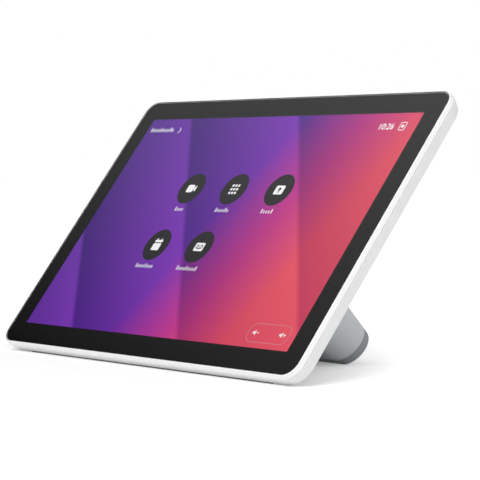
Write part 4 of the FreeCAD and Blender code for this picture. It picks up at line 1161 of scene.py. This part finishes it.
class PHONE_OT_stage(bpy.types.Operator):
    """Pale floor, soft light, a card for the glass to mirror, and the camera"""

    bl_idname = "desk_phone.stage"
    bl_label = "Stage"

    def execute(self, context):
        scene = context.scene
        settings = scene.phone_stage
        scene.view_settings.view_transform = "Standard"
        self.make_world(scene, settings)
        self.make_floor(settings)
        self.make_card()
        lamp = bpy.data.lights.new("key", "AREA")
        lamp.shape = "DISK"
        lamp.size = KEY_WIDE
        lamp.energy = settings.key
        self.hang(scene, lamp, settings.key_place, KEY_TARGET - Vector(settings.key_place))
        camera = bpy.data.cameras.new("camera")
        camera.lens = settings.lens
        camera.sensor_width = FILM
        camera.clip_start = 10 * MM
        scene.camera = self.hang(scene, camera, settings.eye, Vector(settings.aim))
        return {"FINISHED"}

    def hang(self, scene, data, spot, way):
        """A lamp or camera at a spot, that looks along a way."""
        hung = bpy.data.objects.new(data.name, data)
        hung.location = spot
        hung.rotation_euler = way.to_track_quat("-Z", "Y").to_euler()
        scene.collection.objects.link(hung)
        return hung

    def bare(self, owner):
        """The emptied node tree of a world or material."""
        owner.use_nodes = True
        owner.node_tree.nodes.clear()
        return Nodes(owner.node_tree)

    def seen(self, nodes):
        """1 for rays that show the stage itself, or mirror it, and 0 for those that light the phone."""
        way = nodes.node("ShaderNodeLightPath")
        mirrored = nodes.math("MAXIMUM", way.output("Is Glossy Ray"), way.output("Is Transmission Ray"))
        return nodes.math("MAXIMUM", way.output("Is Camera Ray"), mirrored)

    def make_world(self, scene, settings):
        """White for what is seen or mirrored, a plain level for the light itself."""
        scene.world = bpy.data.worlds.new("studio")
        nodes = self.bare(scene.world)
        light, white = (nodes.node("ShaderNodeBackground", sockets={"Color": WHITE, "Strength": strength})
                        for strength in (settings.ambient, 1.0))
        both = nodes.node("ShaderNodeMixShader", sockets={0: self.seen(nodes), 1: light, 2: white})
        nodes.node("ShaderNodeOutputWorld", sockets={"Surface": both})

    def make_floor(self, settings):
        """A wide floor that looks white where no shadow falls; white painted on as it is seen grows away from the
        phone, most on one side, and paints out the shadow there.
        """
        _, nodes = self.sheet("floor", Matrix.Scale(FLOOR_WIDE, 4))
        matt = nodes.node("ShaderNodeBsdfDiffuse", sockets={"Color": (*[settings.floor_tone] * 3, 1.0)})
        where = nodes.object_place()
        # Painted light: the white rises past a line on the floor side and past a ring round the middle, and clears
        # the shadow there.
        aside = nodes.vector_math("DOT_PRODUCT", where, settings.floor_side) - settings.floor_start
        away = nodes.vector_math("LENGTH", where) - settings.floor_ring
        rise = settings.painted_lift_rise * nodes.math("MAXIMUM", aside, away)
        white = nodes.math("MINIMUM", nodes.math("MAXIMUM", rise, settings.floor_least), settings.floor_painted_lift)
        glow = nodes.emission(white * self.seen(nodes))
        both = nodes.node("ShaderNodeAddShader", sockets={0: matt, 1: glow})
        nodes.node("ShaderNodeOutputMaterial", sockets={"Surface": both})

    def make_card(self):
        """A grey card beside the phone, seen only as a soft sheen in the glass."""
        upright = Matrix.Translation(CARD_PLACE) @ Matrix.Rotation(math.pi / 2, 4, "Y")
        card, nodes = self.sheet("card", upright @ Matrix.Diagonal((CARD_TALL, CARD_WIDE, 1.0, 1.0)))
        card.visible_camera = False
        card.visible_diffuse = False
        card.visible_shadow = False
        slope = nodes.vector_math("DOT_PRODUCT", nodes.object_place(), CARD_SLOPE) - CARD_START
        glow = nodes.emission(nodes.math("MAXIMUM", slope, 0.0))
        nodes.node("ShaderNodeOutputMaterial", sockets={"Surface": glow})

    def sheet(self, name, spot):
        """A square of 1 m in a placed frame, that belongs to the stage, and its material's bare nodes."""
        bm = bmesh.new()
        bmesh.ops.create_grid(bm, x_segments=1, y_segments=1, size=0.5)
        made = solid(name, bm, spot)
        material = bpy.data.materials.new(name)
        made.data.materials.append(material)
        return made, self.bare(material)


OPERATORS = (PHONE_OT_finishes, PHONE_OT_front_frame, PHONE_OT_rear_housing, PHONE_OT_glass_and_screen,
             PHONE_OT_screen_drawing, PHONE_OT_foot_shell, PHONE_OT_cable_lid, PHONE_OT_foot_end,
             PHONE_OT_screws, PHONE_OT_stage)
GROUPS = {"phone_panel": PanelSizes, "phone_foot": FootSizes, "phone_screen": ScreenSizes,
          "phone_colours": FinishColours, "phone_stage": StageSettings}


class PHONE_PT_sidebar(bpy.types.Panel):
    """Lists the phone's pieces and their settings"""

    bl_idname = "PHONE_PT_sidebar"
    bl_label = "Desk phone"
    bl_space_type = "VIEW_3D"
    bl_region_type = "UI"
    bl_category = "Desk phone"

    def draw(self, context):
        for operator in OPERATORS:
            self.layout.operator(operator.bl_idname)
        for group, kind in GROUPS.items():
            box = self.layout.box()
            box.label(text=kind.__doc__)
            for setting in kind.__annotations__:
                box.prop(getattr(context.scene, group), setting)


def register():
    for kind in (*GROUPS.values(), *OPERATORS, PHONE_PT_sidebar):
        bpy.utils.register_class(kind)
    for group, kind in GROUPS.items():
        setattr(bpy.types.Scene, group, bpy.props.PointerProperty(type=kind))


def unregister():
    for group in GROUPS:
        delattr(bpy.types.Scene, group)
    for kind in (PHONE_PT_sidebar, *reversed(OPERATORS), *GROUPS.values()):
        bpy.utils.unregister_class(kind)


def main():
    register()
    for operator in OPERATORS:
        _, name = operator.bl_idname.split(".")
        getattr(bpy.ops.desk_phone, name)()


if __name__ == "__main__":
    main()
